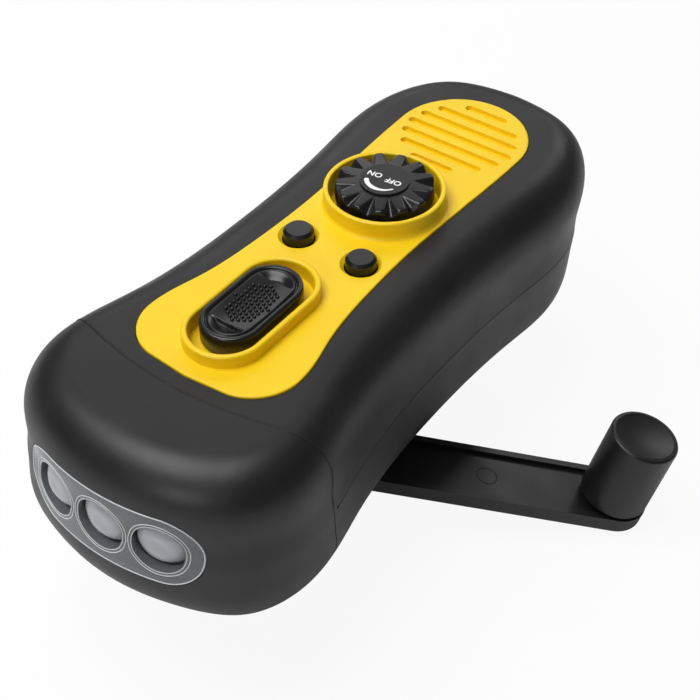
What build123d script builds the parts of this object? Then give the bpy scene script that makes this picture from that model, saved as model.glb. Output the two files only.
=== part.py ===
"""Hand crank flashlight with a built-in radio.

A three-piece black housing carries a yellow control panel, a clear lamp window in the nose,
and a folding crank under the belly. The crank drives a small dynamo through three gear stages.

Frame: millimetres, +Z up, -Y is the lamp end, +X is the side on which the crank stands out.
The origin is the middle of the foot under the lamp end.
"""

import math
import os

from build123d import *

# ---------------------------------------------------------------- housing sizes
wall = 2.2                    # wall of the moulded housing
foot_height = 0.8             # the foot stands this far below the belly
top_height = 37.2             # flat black top above the foot
parting_height = 18.4         # line where upper and lower shell meet
nose_y = -33.1                # lamp end at the parting line
tail_y = 105.1                # tail end at the parting line
nose_slope = 0.06             # the nose leans back by this much for each mm of height
tail_slope = 0.30             # the tail leans out by this much for each mm of height
side_slope = 0.045            # the sides close in by this much for each mm of height
head_half = 31.4              # half widths of the plan outline and where they lie
head_y = -13.6
neck_half = 28.9
neck_y = 6.4
waist_half = 26.0
waist_y = 36.0
rump_half = 27.1
rump_y = 66.0
hip_half = 27.5
hip_set = 19.7                # hip and tail corner lie this far before the tail
tail_corner_half = 23.2
tail_corner_set = 9.6
tail_bow_half = 12.5
tail_bow_set = 2.0
tail_flow = 0.4               # how strongly the outline holds its direction across the tail
top_round = 9.0               # rounding of the top edge
bottom_round = 9.4            # rounding of the belly edge
seam_y = -10.9                 # joint between lamp cap and shells, on the centre line
seam_radius = 81.0            # the joint is an arc in plan
seam_gap = 0.25               # width of the fine line at the joint
lip_length = 3.0              # spigot of the shells inside the lamp cap
lip_wall = 1.2
fit_gap = 0.15                # clearance of a piece that is only laid in
slide_gap = 0.3               # clearance of a piece that moves in its opening

# ---------------------------------------------------------------- control panel sizes
panel_thickness = 2.0
panel_proud = 0.4             # the panel stands this far above the black top
panel_edge_round = 0.35
panel_front_y = -7.7
panel_front_half = 9.5
panel_front_bow = 0.8         # the front edge is bowed by this much
panel_corner_x = 15.4         # middle of the rounded front corner and the way it faces
panel_corner_y = -3.4
panel_corner_facing = -40
panel_head_half = 17.85
panel_head_y = 3.0
panel_neck_half = 15.7
panel_neck_y = 15.0
panel_middle_half = 13.7
panel_middle_y = 31.0
panel_waist_half = 13.2
panel_waist_y = 45.0
panel_tail_half = 14.6
panel_tail_y = 83.4
ledge = 1.5                   # width of the shoulder that carries the panel
slot_count = 7
slot_pitch = 3.64
slot_width = 1.8
slot_depth = 0.9
slot_y = 82.8                 # middle of the grille
slot_field = 12.9             # the slot ends lie on a circle of this radius

# ---------------------------------------------------------------- controls
dial_y = 55.0
dial_radius = 10.1
dial_root_radius = 8.7        # bottom of the flutes between the lobes
dial_lobes = 14
dial_height = 5.8             # centre disc above the panel
dial_shoulder = 4.3           # upper edge of the lobes above the panel
dial_disc_radius = 5.1
dial_disc_step = 0.35
dial_shaft_radius = 3.0
well_radius = 11.4
well_depth = 1.0
ring_base_radius = 12.9
ring_height = 4.0
ring_wall = 1.1
ring_flare = 1.4              # the ring's foot flares out over this height
button_x = 7.6
button_y = 36.2
button_radius = 3.1
button_top_radius = 2.5
button_height = 1.8
button_travel = 0.8
button_flange = 0.9           # hidden flange that keeps a button under the panel
button_dimple = 0.8           # chamfer of the panel round a button
switch_y = 12.0
switch_radius = 6.2
switch_straight = 11.4        # distance between the two end centres of the thumb piece
switch_height = 3.6
switch_travel = 2.4           # each way
switch_rim_radius = 8.4
switch_rim_straight = 15.3
switch_rim_wall = 1.3
switch_rim_height = 2.7
switch_well_depth = 0.8
switch_border = 1.2           # raised border of the thumb piece
switch_groove = 0.4           # width of the groove inside the border
switch_groove_depth = 0.5
scallop_radius = 16.0         # inner edge of the hollow at each end of the thumb piece
scallop_start = 7.4           # the hollows begin this far from the middle of the thumb piece
scallop_depth = 0.9

# ---------------------------------------------------------------- lamp
window_z = 20.2
window_half = 21.0
window_radius = 8.35
window_thickness = 1.8
lamp_pitch = 12.4
lamp_collar_radius = 6.0
window_flange = 1.2           # depth and width of the window's hidden rim behind the cap's wall
lens_base = 1.2               # thickness of a lamp lens below its dome
lamp_dome_height = 1.3
reflector_depth = 6.0
reflector_taper = 24          # opening angle of a reflector bowl, each side
led_radius = 2.5
led_length = 5.2
led_board_thickness = 1.2

# ---------------------------------------------------------------- crank
hub_y = 19.5                  # crank axis
hinge_z = -3.5                # fold axis below the foot's face
hub_radius = 9.0
hub_disc_bottom = -1.1
shaft_radius = 3.0
bush_wall = 1.5
bush_flange_radius = 6.6
bush_flange = 0.8
run_gap = 0.05                # radial running clearance of shafts
droop = 15.0                  # the open arm hangs this many degrees below level
swing = 37.0                  # direction of the open arm, from +X towards the tail
arm_length = 72.6             # fold axis to handle axis
arm_half = 7.6
arm_top = 1.8                 # arm faces above and below the fold axis
arm_bottom = 2.0
arm_rib_width = 1.5
arm_channel_depth = 0.9
arm_shoulder = 10.4           # from here outwards the arm has its full width
arm_corner = 2.0
arm_edge = 0.8
tongue_half = 4.0
tongue_heel = 2.2             # the heel behind the fold axis stops the open arm under the disc
eye_gap = 0.3
cheek_half = 7.3
cheek_reach = 6.5             # half length of the hub's cheeks
hinge_pin_radius = 1.1
handle_radius = 7.45
handle_length = 18.3
handle_gap = 0.3
handle_edge = 0.6
handle_cap_radius = 6.4
handle_cap_depth = 1.4
handle_dish = 0.7
post_radius = 2.4
post_head_radius = 4.6
post_head = 1.6
post_top = 15.0               # underside of the post's head above the arm
pocket_gap = 0.6              # room round the stowed handle
pocket_wall = 1.6

# ---------------------------------------------------------------- gear train
stage_1_module = 0.8
stage_2_module = 0.6
stage_3_module = 0.5
drive_teeth = 48
wheel_1_teeth = 40
wheel_2_teeth = 36
pinion_teeth = 12
backlash = 0.16               # taken off each tooth's thickness
pressure_angle = 20
tooth_root = 1.3              # depth below and height above the pitch circle, in modules
tooth_tip = 0.85
root_relief = 0.12            # the root is this much narrower than the involute's start
gear_1_z = 6.6
gear_width = 2.4
thin_gear_width = 1.8
gear_step = 0.6               # air between one gear level and the next
stage_1_angle = 110.0         # directions from axis to axis, from +X towards the tail
stage_2_angle = -5.0
stage_3_angle = 80.0
axle_radius = 1.25
gear_plate = 1.4
gear_plate_gap = 0.4
rotor_radius = 8.2
rotor_height = 5.0
stator_gap = 0.6
stator_wall = 1.0
stator_slot = 2.2             # windows between the fingers of the stator cup
coil_height = 3.0
coil_bore = 2.5
rotor_shaft_radius = 1.0
collar_radius = 2.0           # thin collars that space the idler gears
pillar_radius = 1.6
gear_screw_radius = 0.9
gear_screw_head = 0.9         # head height and overhang

# ---------------------------------------------------------------- inner pieces
board_thickness = 1.6
board_z = 27.6
board_half = 12.5
board_front_y = 0.0
board_tail_y = 66.0
speaker_radius = 17.0
speaker_height = 3.2
magnet_radius = 8.0
magnet_height = 4.5
cell_radius = 7.8
cell_height = 6.0
cell_count = 3
cell_y = -10.4
ferrite_radius = 3.0
ferrite_length = 29.0
ferrite_y = 69.5
ferrite_z = 15.0
coil_length = 11.0
coil_wall = 1.0
saddle_x = 11.0
saddle_width = 2.0
board_post_radius = 2.0
tact_size = 6.0
tact_height = 3.0
pot_radius = 8.0
slider_width = 7.0
slider_length = 13.0
speaker_rim = 1.6
coil_former = 5.0             # radius of the speaker cone's neck
dust_cap = 1.8
screw_radius = 1.3
screw_head_radius = 2.4
boss_radius = 3.2
foot_half_x = 13.0
foot_half_y = 8.0
foot_corner = 4.0
lamp_fan = 14.5               # the outer lamps turn outwards by this angle
lamp_setback = 1.6            # the outer lamps lie this far behind the middle one
lamp_tube_wall = 0.8
lamp_tube_length = 3.4
shaft_top = 10.8
clip_thickness = 0.8
clip_groove = 0.4
clip_grip = 1.8
pocket_sweep = 3.0            # extra length of the pocket for the handle's swing

# ---------------------------------------------------------------- derived places
belly_z = foot_height
floor_z = belly_z + wall
panel_top = top_height + panel_proud
panel_bottom = panel_top - panel_thickness
level_1 = gear_1_z
level_2 = level_1 + gear_width + gear_step
level_3 = level_2 + thin_gear_width + gear_step
cover_z = level_3 + thin_gear_width + gear_plate_gap
rotor_z = cover_z + gear_plate + gear_step
rotor_top = rotor_z + rotor_height


def polar_step(start, distance, angle):
    """Point at a distance and direction from a start point in plan."""
    return (start[0] + distance * math.cos(math.radians(angle)),
            start[1] + distance * math.sin(math.radians(angle)))


def centre_distance(module, teeth_a, teeth_b):
    """Distance between the axes of two meshing gears."""
    return module * (teeth_a + teeth_b) / 2


hub_xy = (0.0, hub_y)
idler_1_xy = polar_step(hub_xy, centre_distance(stage_1_module, drive_teeth, pinion_teeth), stage_1_angle)
idler_2_xy = polar_step(idler_1_xy, centre_distance(stage_2_module, wheel_1_teeth, pinion_teeth), stage_2_angle)
rotor_xy = polar_step(idler_2_xy, centre_distance(stage_3_module, wheel_2_teeth, pinion_teeth), stage_3_angle)

pillar_places = [(-18.8, 31.5), (-17.0, 57.0), (-3.5, 60.0), (18.8, 41.5)]
board_posts = [(-9.0, 24.0), (9.0, 24.0), (-9.0, 62.5), (9.0, 62.5)]
screw_places = [(-19.0, 2.0), (19.0, 2.0), (-19.5, 74.0), (19.5, 74.0)]
screw_seat = 2 * wall
plate_rest = gear_1_z - gear_step - gear_plate - gear_plate_gap
gear_screw_end = belly_z + 1.0
board_top = board_z + board_thickness
pocket_y = hub_y + arm_length
pocket_top = hinge_z + arm_top + handle_gap + handle_length + pocket_gap


# ================================================================ housing form
def housing_outline(height, inset):
    """Closed plan outline of the housing at one height, drawn in by the inset.

    Each station of the right half has a place and the direction that its wall faces.
    """
    rise = height - parting_height
    nose = nose_y + nose_slope * rise
    tail = tail_y + tail_slope * rise
    closing = side_slope * rise
    stations = [
        (0.0, nose, -90),
        (head_half / 2, nose + 2.6, -73),
        (head_half - 4.6 - closing, nose + 9.2, -43),
        (head_half - closing, head_y, -4),
        (neck_half - closing, neck_y, 9),
        (waist_half - closing, waist_y, 0),
        (rump_half - closing, rump_y, -1),
        (hip_half - closing, tail - hip_set, 3),
        (tail_corner_half - closing, tail - tail_corner_set, 43),
        (tail_bow_half, tail - tail_bow_set, 74),
        (0.0, tail, 90),
    ]
    points = [
        (x - inset * math.cos(math.radians(facing)), y - inset * math.sin(math.radians(facing)))
        for x, y, facing in stations
    ]
    points[0] = (0.0, nose + inset)
    points[-1] = (0.0, tail - inset)
    with BuildSketch(Plane.XY.offset(height)) as outline:
        with BuildLine():
            Spline(*points, tangents=[(1, 0), (-1, 0)], tangent_scalars=[1.0, tail_flow])
            mirror(about=Plane.YZ)
        make_face()
    return outline.sketch


def housing_form(inset):
    """Solid with the housing's outer form, drawn in evenly by the inset.

    The belly edge and the top edge are quarter rounds, laid through outlines that step along the arc.
    """
    low_round = bottom_round - inset
    high_round = top_round - inset
    low_centre = belly_z + bottom_round
    high_centre = top_height - top_round
    levels = []
    for angle in (90, 68, 45, 22):
        turn = math.radians(angle)
        levels.append((low_centre - low_round * math.sin(turn), inset + low_round * (1 - math.cos(turn))))
    levels.append((low_centre, inset))
    levels.append((parting_height, inset))
    levels.append((high_centre, inset))
    for angle in (22, 45, 68, 90):
        turn = math.radians(angle)
        levels.append((high_centre + high_round * math.sin(turn), inset + high_round * (1 - math.cos(turn))))
    with BuildPart() as form:
        loft(sections=[housing_outline(height, drawn_in) for height, drawn_in in levels])
    return form.part


def seam_cylinder(radius):
    """Upright cylinder whose wall is the joint between lamp cap and shells."""
    with BuildPart() as cylinder:
        with BuildSketch(Plane.XY.offset(-10)):
            with Locations((0, seam_y + seam_radius)):
                Circle(radius)
        extrude(amount=top_height + 20)
    return cylinder.part


lip_inset = wall + fit_gap + lip_wall
outer_form = housing_form(0)
inner_form = housing_form(wall)
root_form = housing_form(wall - fit_gap)
clear_form = housing_form(wall + fit_gap)
flange_form = housing_form(wall + window_flange)
lip_form = housing_form(lip_inset)
rear_region = seam_cylinder(seam_radius)


def panel_outline(inset, height):
    """Outline of the control panel, drawn in by the inset."""
    front_y = panel_front_y + inset
    tail_radius = panel_tail_half - inset
    facing = math.radians(panel_corner_facing)
    corner = (panel_corner_x - inset * math.cos(facing), panel_corner_y - inset * math.sin(facing))
    with BuildSketch(Plane.XY.offset(height)) as outline:
        with BuildLine():
            front = Line((0, front_y), (panel_front_half, front_y + panel_front_bow))
            side = Spline(
                (panel_head_half - inset, panel_head_y),
                (panel_neck_half - inset, panel_neck_y),
                (panel_middle_half - inset, panel_middle_y),
                (panel_waist_half - inset, panel_waist_y),
                (tail_radius, panel_tail_y),
                tangents=[(0, 1), (0, 1)],
            )
            ThreePointArc(front @ 1, corner, side @ 0)
            RadiusArc(side @ 1, (0, panel_tail_y + tail_radius), -tail_radius)
            mirror(about=Plane.YZ)
        make_face()
    return outline.sketch


# ================================================================ shells
def window_outline(grow, depth):
    """Upright rounded outline of the lamp window, standing across the nose."""
    with BuildSketch(Plane.XZ.offset(-depth)) as outline:
        with Locations((0, window_z)):
            SlotOverall(2 * (window_half + grow), 2 * (window_radius + grow))
    return outline.sketch


def window_bar(grow):
    """Straight bar with the window's outline that passes through the nose."""
    with BuildPart() as bar:
        extrude(window_outline(grow, 0.0), amount=-2 * nose_y)
    return bar.part


def form_band(outer, inner, front_radius, rear_radius):
    """Ring of wall between two forms of the housing and two joint arcs."""
    with BuildPart() as band:
        add(outer)
        add(inner, mode=Mode.SUBTRACT)
        add(seam_cylinder(front_radius), mode=Mode.INTERSECT)
        add(seam_cylinder(rear_radius), mode=Mode.SUBTRACT)
    return band.part


lip_front = form_band(clear_form, lip_form, seam_radius + lip_length, seam_radius)
lip_root = form_band(root_form, lip_form, seam_radius, seam_radius - lip_length)


def shell_lip(keep):
    """Spigot of one shell that reaches into the lamp cap, with its root on the shell's wall."""
    with BuildPart() as lip:
        add(lip_front)
        add(lip_root)
        split(bisect_by=Plane.XY.offset(parting_height), keep=keep)
    return lip.part


def boss_columns(places, radius, low, high):
    """Round columns between two heights, cut where they meet the inside of the housing."""
    with BuildPart() as columns:
        with BuildSketch(Plane.XY.offset(low)):
            with Locations(*places):
                Circle(radius)
        extrude(amount=high - low)
        add(inner_form, mode=Mode.INTERSECT)
    return columns.part


def pocket_outline(grow, height):
    """Plan outline of the handle pocket, longer towards the tail for the handle's swing."""
    radius = handle_radius + pocket_gap + grow
    with BuildSketch(Plane.XY.offset(height)) as outline:
        with Locations((0, pocket_y + pocket_sweep / 2)):
            SlotCenterToCenter(pocket_sweep, 2 * radius, rotation=90)
    return outline.sketch


with BuildPart() as upper_shell:
    add(outer_form)
    add(inner_form, mode=Mode.SUBTRACT)
    add(rear_region, mode=Mode.INTERSECT)
    split(bisect_by=Plane.XY.offset(parting_height), keep=Keep.TOP)
    add(shell_lip(Keep.TOP))
    extrude(panel_outline(-fit_gap, panel_bottom), amount=panel_thickness, mode=Mode.SUBTRACT)
    extrude(panel_outline(ledge, panel_bottom), amount=-2 * wall, mode=Mode.SUBTRACT)
    add(boss_columns(screw_places, boss_radius, parting_height, top_height))
    with BuildSketch(Plane.XY.offset(parting_height)):
        with Locations(*screw_places):
            Circle(screw_radius)
    extrude(amount=wall * 4, mode=Mode.SUBTRACT)

with BuildPart() as lower_shell:
    add(outer_form)
    add(inner_form, mode=Mode.SUBTRACT)
    add(rear_region, mode=Mode.INTERSECT)
    split(bisect_by=Plane.XY.offset(parting_height), keep=Keep.BOTTOM)
    add(shell_lip(Keep.BOTTOM))
    with BuildSketch():
        RectangleRounded(2 * foot_half_x, 2 * foot_half_y, foot_corner)
    extrude(amount=foot_height + wall / 2)
    extrude(pocket_outline(pocket_wall, belly_z), amount=parting_height - belly_z)
    add(outer_form, mode=Mode.INTERSECT)
    with BuildSketch():
        RectangleRounded(2 * foot_half_x, 2 * foot_half_y, foot_corner)
    extrude(amount=foot_height + wall / 2)
    extrude(pocket_outline(0.0, -wall), amount=pocket_top + wall, mode=Mode.SUBTRACT)
    add(boss_columns(screw_places, boss_radius, belly_z, parting_height))
    add(boss_columns([hub_xy], bush_flange_radius, belly_z, floor_z + bush_flange))
    add(boss_columns(pillar_places, pillar_radius + fit_gap, belly_z, plate_rest))
    with BuildSketch(Plane.XY.offset(floor_z - wall / 2)):
        with Locations((-saddle_x, ferrite_y), (saddle_x, ferrite_y)):
            Rectangle(saddle_width, 2 * ferrite_radius + saddle_width)
    extrude(amount=ferrite_z - floor_z + wall / 2)
    with BuildSketch(Plane.YZ.offset(-saddle_x - saddle_width)):
        with Locations((ferrite_y, ferrite_z)):
            Circle(ferrite_radius)
    extrude(amount=2 * (saddle_x + saddle_width), mode=Mode.SUBTRACT)
    with BuildSketch(Plane.XY.offset(gear_screw_end)):
        with Locations(*pillar_places):
            Circle(gear_screw_radius)
    extrude(amount=plate_rest, mode=Mode.SUBTRACT)
    with BuildSketch():
        with Locations(hub_xy):
            Circle(shaft_radius + run_gap + bush_wall)
    extrude(amount=3 * wall, mode=Mode.SUBTRACT)
    with BuildSketch(Plane.XY.offset(-wall)):
        with Locations(*screw_places):
            Circle(screw_radius + fit_gap)
    extrude(amount=parting_height + 2 * wall, mode=Mode.SUBTRACT)
    with BuildSketch(Plane.XY.offset(-wall)):
        with Locations(*screw_places):
            Circle(screw_head_radius + fit_gap)
    extrude(amount=screw_seat + wall, mode=Mode.SUBTRACT)

with BuildPart() as front_cap:
    add(outer_form)
    add(inner_form, mode=Mode.SUBTRACT)
    add(seam_cylinder(seam_radius + seam_gap), mode=Mode.SUBTRACT)
    add(window_bar(0.0), mode=Mode.SUBTRACT)


# ================================================================ control panel
def stadium(radius, straight, height):
    """Plan outline of a rounded slot that runs lengthwise at the lamp switch."""
    with BuildSketch(Plane.XY.offset(height)) as outline:
        with Locations((0, switch_y)):
            SlotCenterToCenter(straight, 2 * radius, rotation=90)
    return outline.sketch


def switch_rim():
    """Raised rim round the lamp switch, with both upper edges rounded."""
    with BuildPart() as rim:
        extrude(stadium(switch_rim_radius, switch_rim_straight, panel_top), amount=switch_rim_height)
        extrude(
            stadium(switch_rim_radius - switch_rim_wall, switch_rim_straight, panel_top),
            amount=switch_rim_height,
            mode=Mode.SUBTRACT,
        )
        fillet(rim.faces().sort_by(Axis.Z)[-1].edges(), switch_rim_wall * 0.4)
    return rim.part


def dial_ring():
    """Raised ring round the dial: a rounded wall that flares out to its foot."""
    crest = well_radius + ring_wall
    with BuildPart() as ring:
        with BuildSketch(Plane.XZ.offset(-dial_y)):
            with BuildLine():
                Polyline((crest, panel_top + ring_flare), (crest, panel_top + ring_height),
                         (well_radius, panel_top + ring_height), (well_radius, panel_top - well_depth),
                         (ring_base_radius, panel_top - well_depth), (ring_base_radius, panel_top))
                ThreePointArc((ring_base_radius, panel_top),
                              ((3 * crest + ring_base_radius) / 4, panel_top + ring_flare / 4),
                              (crest, panel_top + ring_flare))
            make_face()
        revolve(axis=Axis((0, dial_y, 0), (0, 0, 1)))
        fillet(ring.edges().group_by(Axis.Z)[-1], ring_wall * 0.38)
    return ring.part


button_places = [(-button_x, button_y), (button_x, button_y)]

with BuildPart() as top_panel:
    extrude(panel_outline(0.0, panel_bottom), amount=panel_thickness)
    fillet(top_panel.faces().sort_by(Axis.Z)[-1].edges(), panel_edge_round)
    add(dial_ring())
    add(switch_rim())
    with BuildSketch(Plane.XY.offset(panel_top - well_depth)):
        with Locations((0, dial_y)):
            Circle(well_radius)
    extrude(amount=ring_height + well_depth, mode=Mode.SUBTRACT)
    extrude(
        stadium(switch_rim_radius - switch_rim_wall, switch_rim_straight, panel_top - switch_well_depth),
        amount=switch_rim_height + switch_well_depth,
        mode=Mode.SUBTRACT,
    )
    with BuildSketch(Plane.XY.offset(panel_bottom)):
        with Locations((0, dial_y)):
            Circle(dial_shaft_radius + slide_gap)
        with Locations((0, switch_y)):
            SlotCenterToCenter(2 * switch_travel + 3.0, 3.0 + 2 * slide_gap, rotation=90)
        with Locations(*button_places):
            Circle(button_radius + slide_gap)
    extrude(amount=panel_thickness, mode=Mode.SUBTRACT)
    for place in button_places:
        with BuildSketch(Plane.XY.offset(panel_top)):
            with Locations(place):
                Circle(button_radius + slide_gap + button_dimple)
        extrude(amount=-button_dimple, taper=44, mode=Mode.SUBTRACT)
    with BuildSketch(Plane.XY.offset(panel_top)):
        for index in range(slot_count):
            step = (index - (slot_count - 1) / 2) * slot_pitch
            half = math.sqrt(slot_field ** 2 - (abs(step) + slot_width / 2) ** 2)
            with Locations((0, slot_y + step)):
                SlotOverall(2 * half, slot_width)
    extrude(amount=-slot_depth, mode=Mode.SUBTRACT)
    with BuildSketch(Plane.XY.offset(board_top)):
        with Locations(*board_posts):
            Circle(board_post_radius)
            Circle(gear_screw_radius, mode=Mode.SUBTRACT)
    extrude(amount=panel_bottom - board_top)


# ================================================================ controls
button_foot = panel_bottom - slide_gap - button_flange
switch_stem_z = panel_bottom - 1.0


def push_button(place):
    """Round button: chamfered cap, straight stem and a flange that keeps it under the panel."""
    cap_top = panel_top + button_height
    with BuildPart() as button:
        with BuildSketch(Plane.XY.offset(button_foot)):
            with Locations(place):
                Circle(button_radius + button_flange)
        extrude(amount=button_flange)
        with BuildSketch(Plane.XY.offset(panel_bottom - slide_gap)):
            with Locations(place):
                Circle(button_radius)
        extrude(amount=cap_top - panel_bottom + slide_gap)
        chamfer(button.edges().group_by(Axis.Z)[-1], button_radius - button_top_radius)
    return button.part


with BuildPart() as reset_button:
    add(push_button(button_places[0]))

with BuildPart() as scan_button:
    add(push_button(button_places[1]))

switch_floor = panel_top - switch_well_depth
switch_top = panel_top + switch_height
pad_radius = switch_radius - switch_border - switch_groove

with BuildPart() as light_switch:
    extrude(stadium(switch_radius, switch_straight, switch_floor + slide_gap),
            amount=switch_top - switch_floor - slide_gap)
    fillet(light_switch.faces().sort_by(Axis.Z)[-1].edges(), 0.5)
    extrude(stadium(switch_radius - switch_border, switch_straight, switch_top),
            amount=-switch_groove_depth, mode=Mode.SUBTRACT)
    extrude(stadium(pad_radius, switch_straight, switch_top - switch_groove_depth), amount=switch_groove_depth)
    for end in (-1, 1):
        with BuildSketch(Plane.XY.offset(switch_top)):
            add(stadium(pad_radius, switch_straight, switch_top))
            with Locations((0, switch_y + end * (scallop_start - scallop_radius))):
                Circle(scallop_radius, mode=Mode.SUBTRACT)
        extrude(amount=-scallop_depth, mode=Mode.SUBTRACT)
    with BuildSketch(Plane.XY.offset(switch_floor + slide_gap)):
        with Locations((0, switch_y)):
            Rectangle(3.0, 3.0)
    extrude(amount=switch_stem_z - switch_floor - slide_gap)


def dial_body():
    """Dial with sloping lobes: a turned blank with flutes cut between the lobes."""
    skirt = dial_radius - 0.3
    low = panel_top - well_depth + slide_gap
    shoulder = panel_top + dial_shoulder
    crown = panel_top + dial_height - dial_disc_step
    with BuildPart() as dial:
        with BuildSketch(Plane.XZ.offset(-dial_y)):
            with BuildLine():
                Polyline((0, low), (skirt, low), (skirt, panel_top + 1.6), (dial_radius, panel_top + 1.9),
                         (dial_radius, shoulder - 1.0), (dial_radius - 0.9, shoulder),
                         (dial_disc_radius + 0.5, crown), (0, crown), close=True)
            make_face()
        revolve(axis=Axis((0, dial_y, 0), (0, 0, 1)))
        with BuildSketch(Plane.XY.offset(panel_top + 1.75)):
            with Locations((0, dial_y)):
                with PolarLocations(dial_radius + 1.1, dial_lobes, start_angle=180 / dial_lobes):
                    Circle(dial_radius + 1.1 - dial_root_radius)
        extrude(amount=dial_height, mode=Mode.SUBTRACT)
    return dial.part


with BuildPart() as volume_dial:
    add(dial_body())
    with BuildSketch(Plane.XY.offset(panel_top - well_depth)):
        with Locations((0, dial_y)):
            Circle(dial_shaft_radius)
    extrude(amount=dial_height - 1.0, mode=Mode.SUBTRACT)

with BuildPart() as dial_disc:
    with BuildSketch(Plane.XY.offset(panel_top + dial_height - dial_disc_step)):
        with Locations((0, dial_y)):
            Circle(dial_disc_radius)
    extrude(amount=dial_disc_step)

dial_shaft_foot = board_top + 1.5

with BuildPart() as dial_shaft:
    with BuildSketch(Plane.XY.offset(dial_shaft_foot)):
        with Locations((0, dial_y)):
            Circle(dial_shaft_radius)
    extrude(amount=panel_top - well_depth + dial_height - 1.0 - dial_shaft_foot)


# ================================================================ lamp
def lamp_plane(index, depth):
    """Plane at one lamp, set back by a depth, whose Z axis points out of the nose."""
    front = nose_y + nose_slope * (window_z - parting_height) + lamp_setback * abs(index)
    angle = math.radians(lamp_fan * index)
    outward = Vector(math.sin(angle), -math.cos(angle), 0)
    return Plane(origin=Vector(index * lamp_pitch, front, window_z) - outward * depth,
                 x_dir=(math.cos(angle), math.sin(angle), 0), z_dir=outward)


lamp_indices = (-1, 0, 1)
lens_back = window_thickness + lamp_tube_length


def window_layer(grow, outer, inner):
    """Curved plate with the window's outline, between two forms of the housing."""
    with BuildPart() as layer:
        add(window_bar(grow))
        add(outer, mode=Mode.INTERSECT)
        add(inner, mode=Mode.SUBTRACT)
    return layer.part


def lens_dome(place):
    """Domed end of one lamp tube, turned about the lamp's axis."""
    edge = lamp_collar_radius - lamp_tube_wall / 2
    crest = lens_base + lamp_dome_height
    with BuildPart() as dome:
        with BuildSketch(Plane(origin=place.origin, x_dir=place.x_dir, z_dir=(0, 0, 1))):
            with BuildLine():
                Polyline((0, -crest), (0, 0), (edge, 0), (edge, -lens_base))
                TangentArc((0, -crest), (edge, -lens_base), tangent=(1, 0))
            make_face()
        revolve(axis=Axis(place.origin, place.z_dir))
    return dome.part


with BuildPart() as lens_window:
    add(window_layer(-fit_gap, outer_form, clear_form))
    add(window_layer(window_flange, clear_form, flange_form))
    for index in lamp_indices:
        with BuildSketch(lamp_plane(index, lens_back)):
            Circle(lamp_collar_radius)
        extrude(amount=lens_back - window_thickness / 2)
    for index in lamp_indices:
        with BuildSketch(lamp_plane(index, lens_back)):
            Circle(lamp_collar_radius - lamp_tube_wall)
        extrude(amount=2 * lens_back, mode=Mode.SUBTRACT)
    for index in lamp_indices:
        add(lens_dome(lamp_plane(index, lens_back)))

reflector_front = lens_back + fit_gap
reflector_y = nose_y + lamp_setback + reflector_front + reflector_depth

with BuildPart() as led_reflector:
    with BuildSketch(Plane.XZ.offset(-reflector_y)):
        with Locations((0, window_z)):
            SlotOverall(2 * (lamp_pitch + lamp_collar_radius + fit_gap), 2 * (lamp_collar_radius + 1.0))
    extrude(amount=reflector_depth)
    add(flange_form, mode=Mode.INTERSECT)
    for index in lamp_indices:
        with BuildSketch(lamp_plane(index, reflector_front)):
            Circle(lamp_collar_radius + fit_gap)
        extrude(amount=lamp_collar_radius, mode=Mode.SUBTRACT)
        with BuildSketch(lamp_plane(index, reflector_front)):
            Circle(lamp_collar_radius - lamp_tube_wall)
        extrude(amount=-reflector_depth, taper=reflector_taper, mode=Mode.SUBTRACT)
        with BuildSketch(lamp_plane(index, reflector_front)):
            Circle(led_radius + fit_gap)
        extrude(amount=-2 * reflector_depth, mode=Mode.SUBTRACT)

led_board_y = reflector_y + fit_gap

with BuildPart() as leds:
    for index in lamp_indices:
        foot_x = lamp_plane(index, reflector_front + reflector_depth).origin.X
        with BuildSketch(Plane.XZ.offset(-led_board_y)):
            with Locations((foot_x, window_z)):
                Circle(led_radius)
        extrude(amount=led_length)
    fillet(leds.faces().group_by(Axis.Y)[0].edges(), led_radius * 0.9)

with BuildPart() as led_board:
    with BuildSketch(Plane.XZ.offset(-led_board_y - led_board_thickness)):
        with Locations((0, window_z)):
            RectangleRounded(2 * (lamp_pitch + lamp_collar_radius), 2 * lamp_collar_radius, 2.0)
    extrude(amount=led_board_thickness)


# ================================================================ crank
hub_plane = Plane(origin=(0, hub_y, 0),
                  x_dir=(math.cos(math.radians(swing)), math.sin(math.radians(swing)), 0),
                  z_dir=(0, 0, 1))
level_out = hub_plane.x_dir
upward = Vector(0, 0, 1)
arm_out = level_out * math.cos(math.radians(droop)) - upward * math.sin(math.radians(droop))
arm_up = level_out * math.sin(math.radians(droop)) + upward * math.cos(math.radians(droop))
hinge_point = Vector(0, hub_y, hinge_z)
arm_plane = Plane(origin=hinge_point, x_dir=arm_out, z_dir=arm_up)
handle_plane = Plane(origin=hinge_point + arm_out * arm_length + arm_up * arm_top, x_dir=arm_out, z_dir=arm_up)
hinge_plane = Plane(origin=hinge_point, x_dir=level_out, z_dir=hub_plane.y_dir)
hub_top = belly_z - slide_gap
cheek_low = hinge_z - arm_bottom - slide_gap
clip_z = gear_1_z + gear_width + fit_gap


def plan_slab(plane, low, high, width_x, width_y, centre_x=0.0, centre_y=0.0):
    """Straight slab on a plane between two heights."""
    with BuildPart() as slab:
        with BuildSketch(plane.offset(low)):
            with Locations((centre_x, centre_y)):
                Rectangle(width_x, width_y)
        extrude(amount=high - low)
    return slab.part


def cross_rod(radius, half_length):
    """Round rod along the fold axis."""
    with BuildPart() as rod:
        with BuildSketch(hinge_plane.offset(-half_length)):
            Circle(radius)
        extrude(amount=2 * half_length)
    return rod.part


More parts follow.
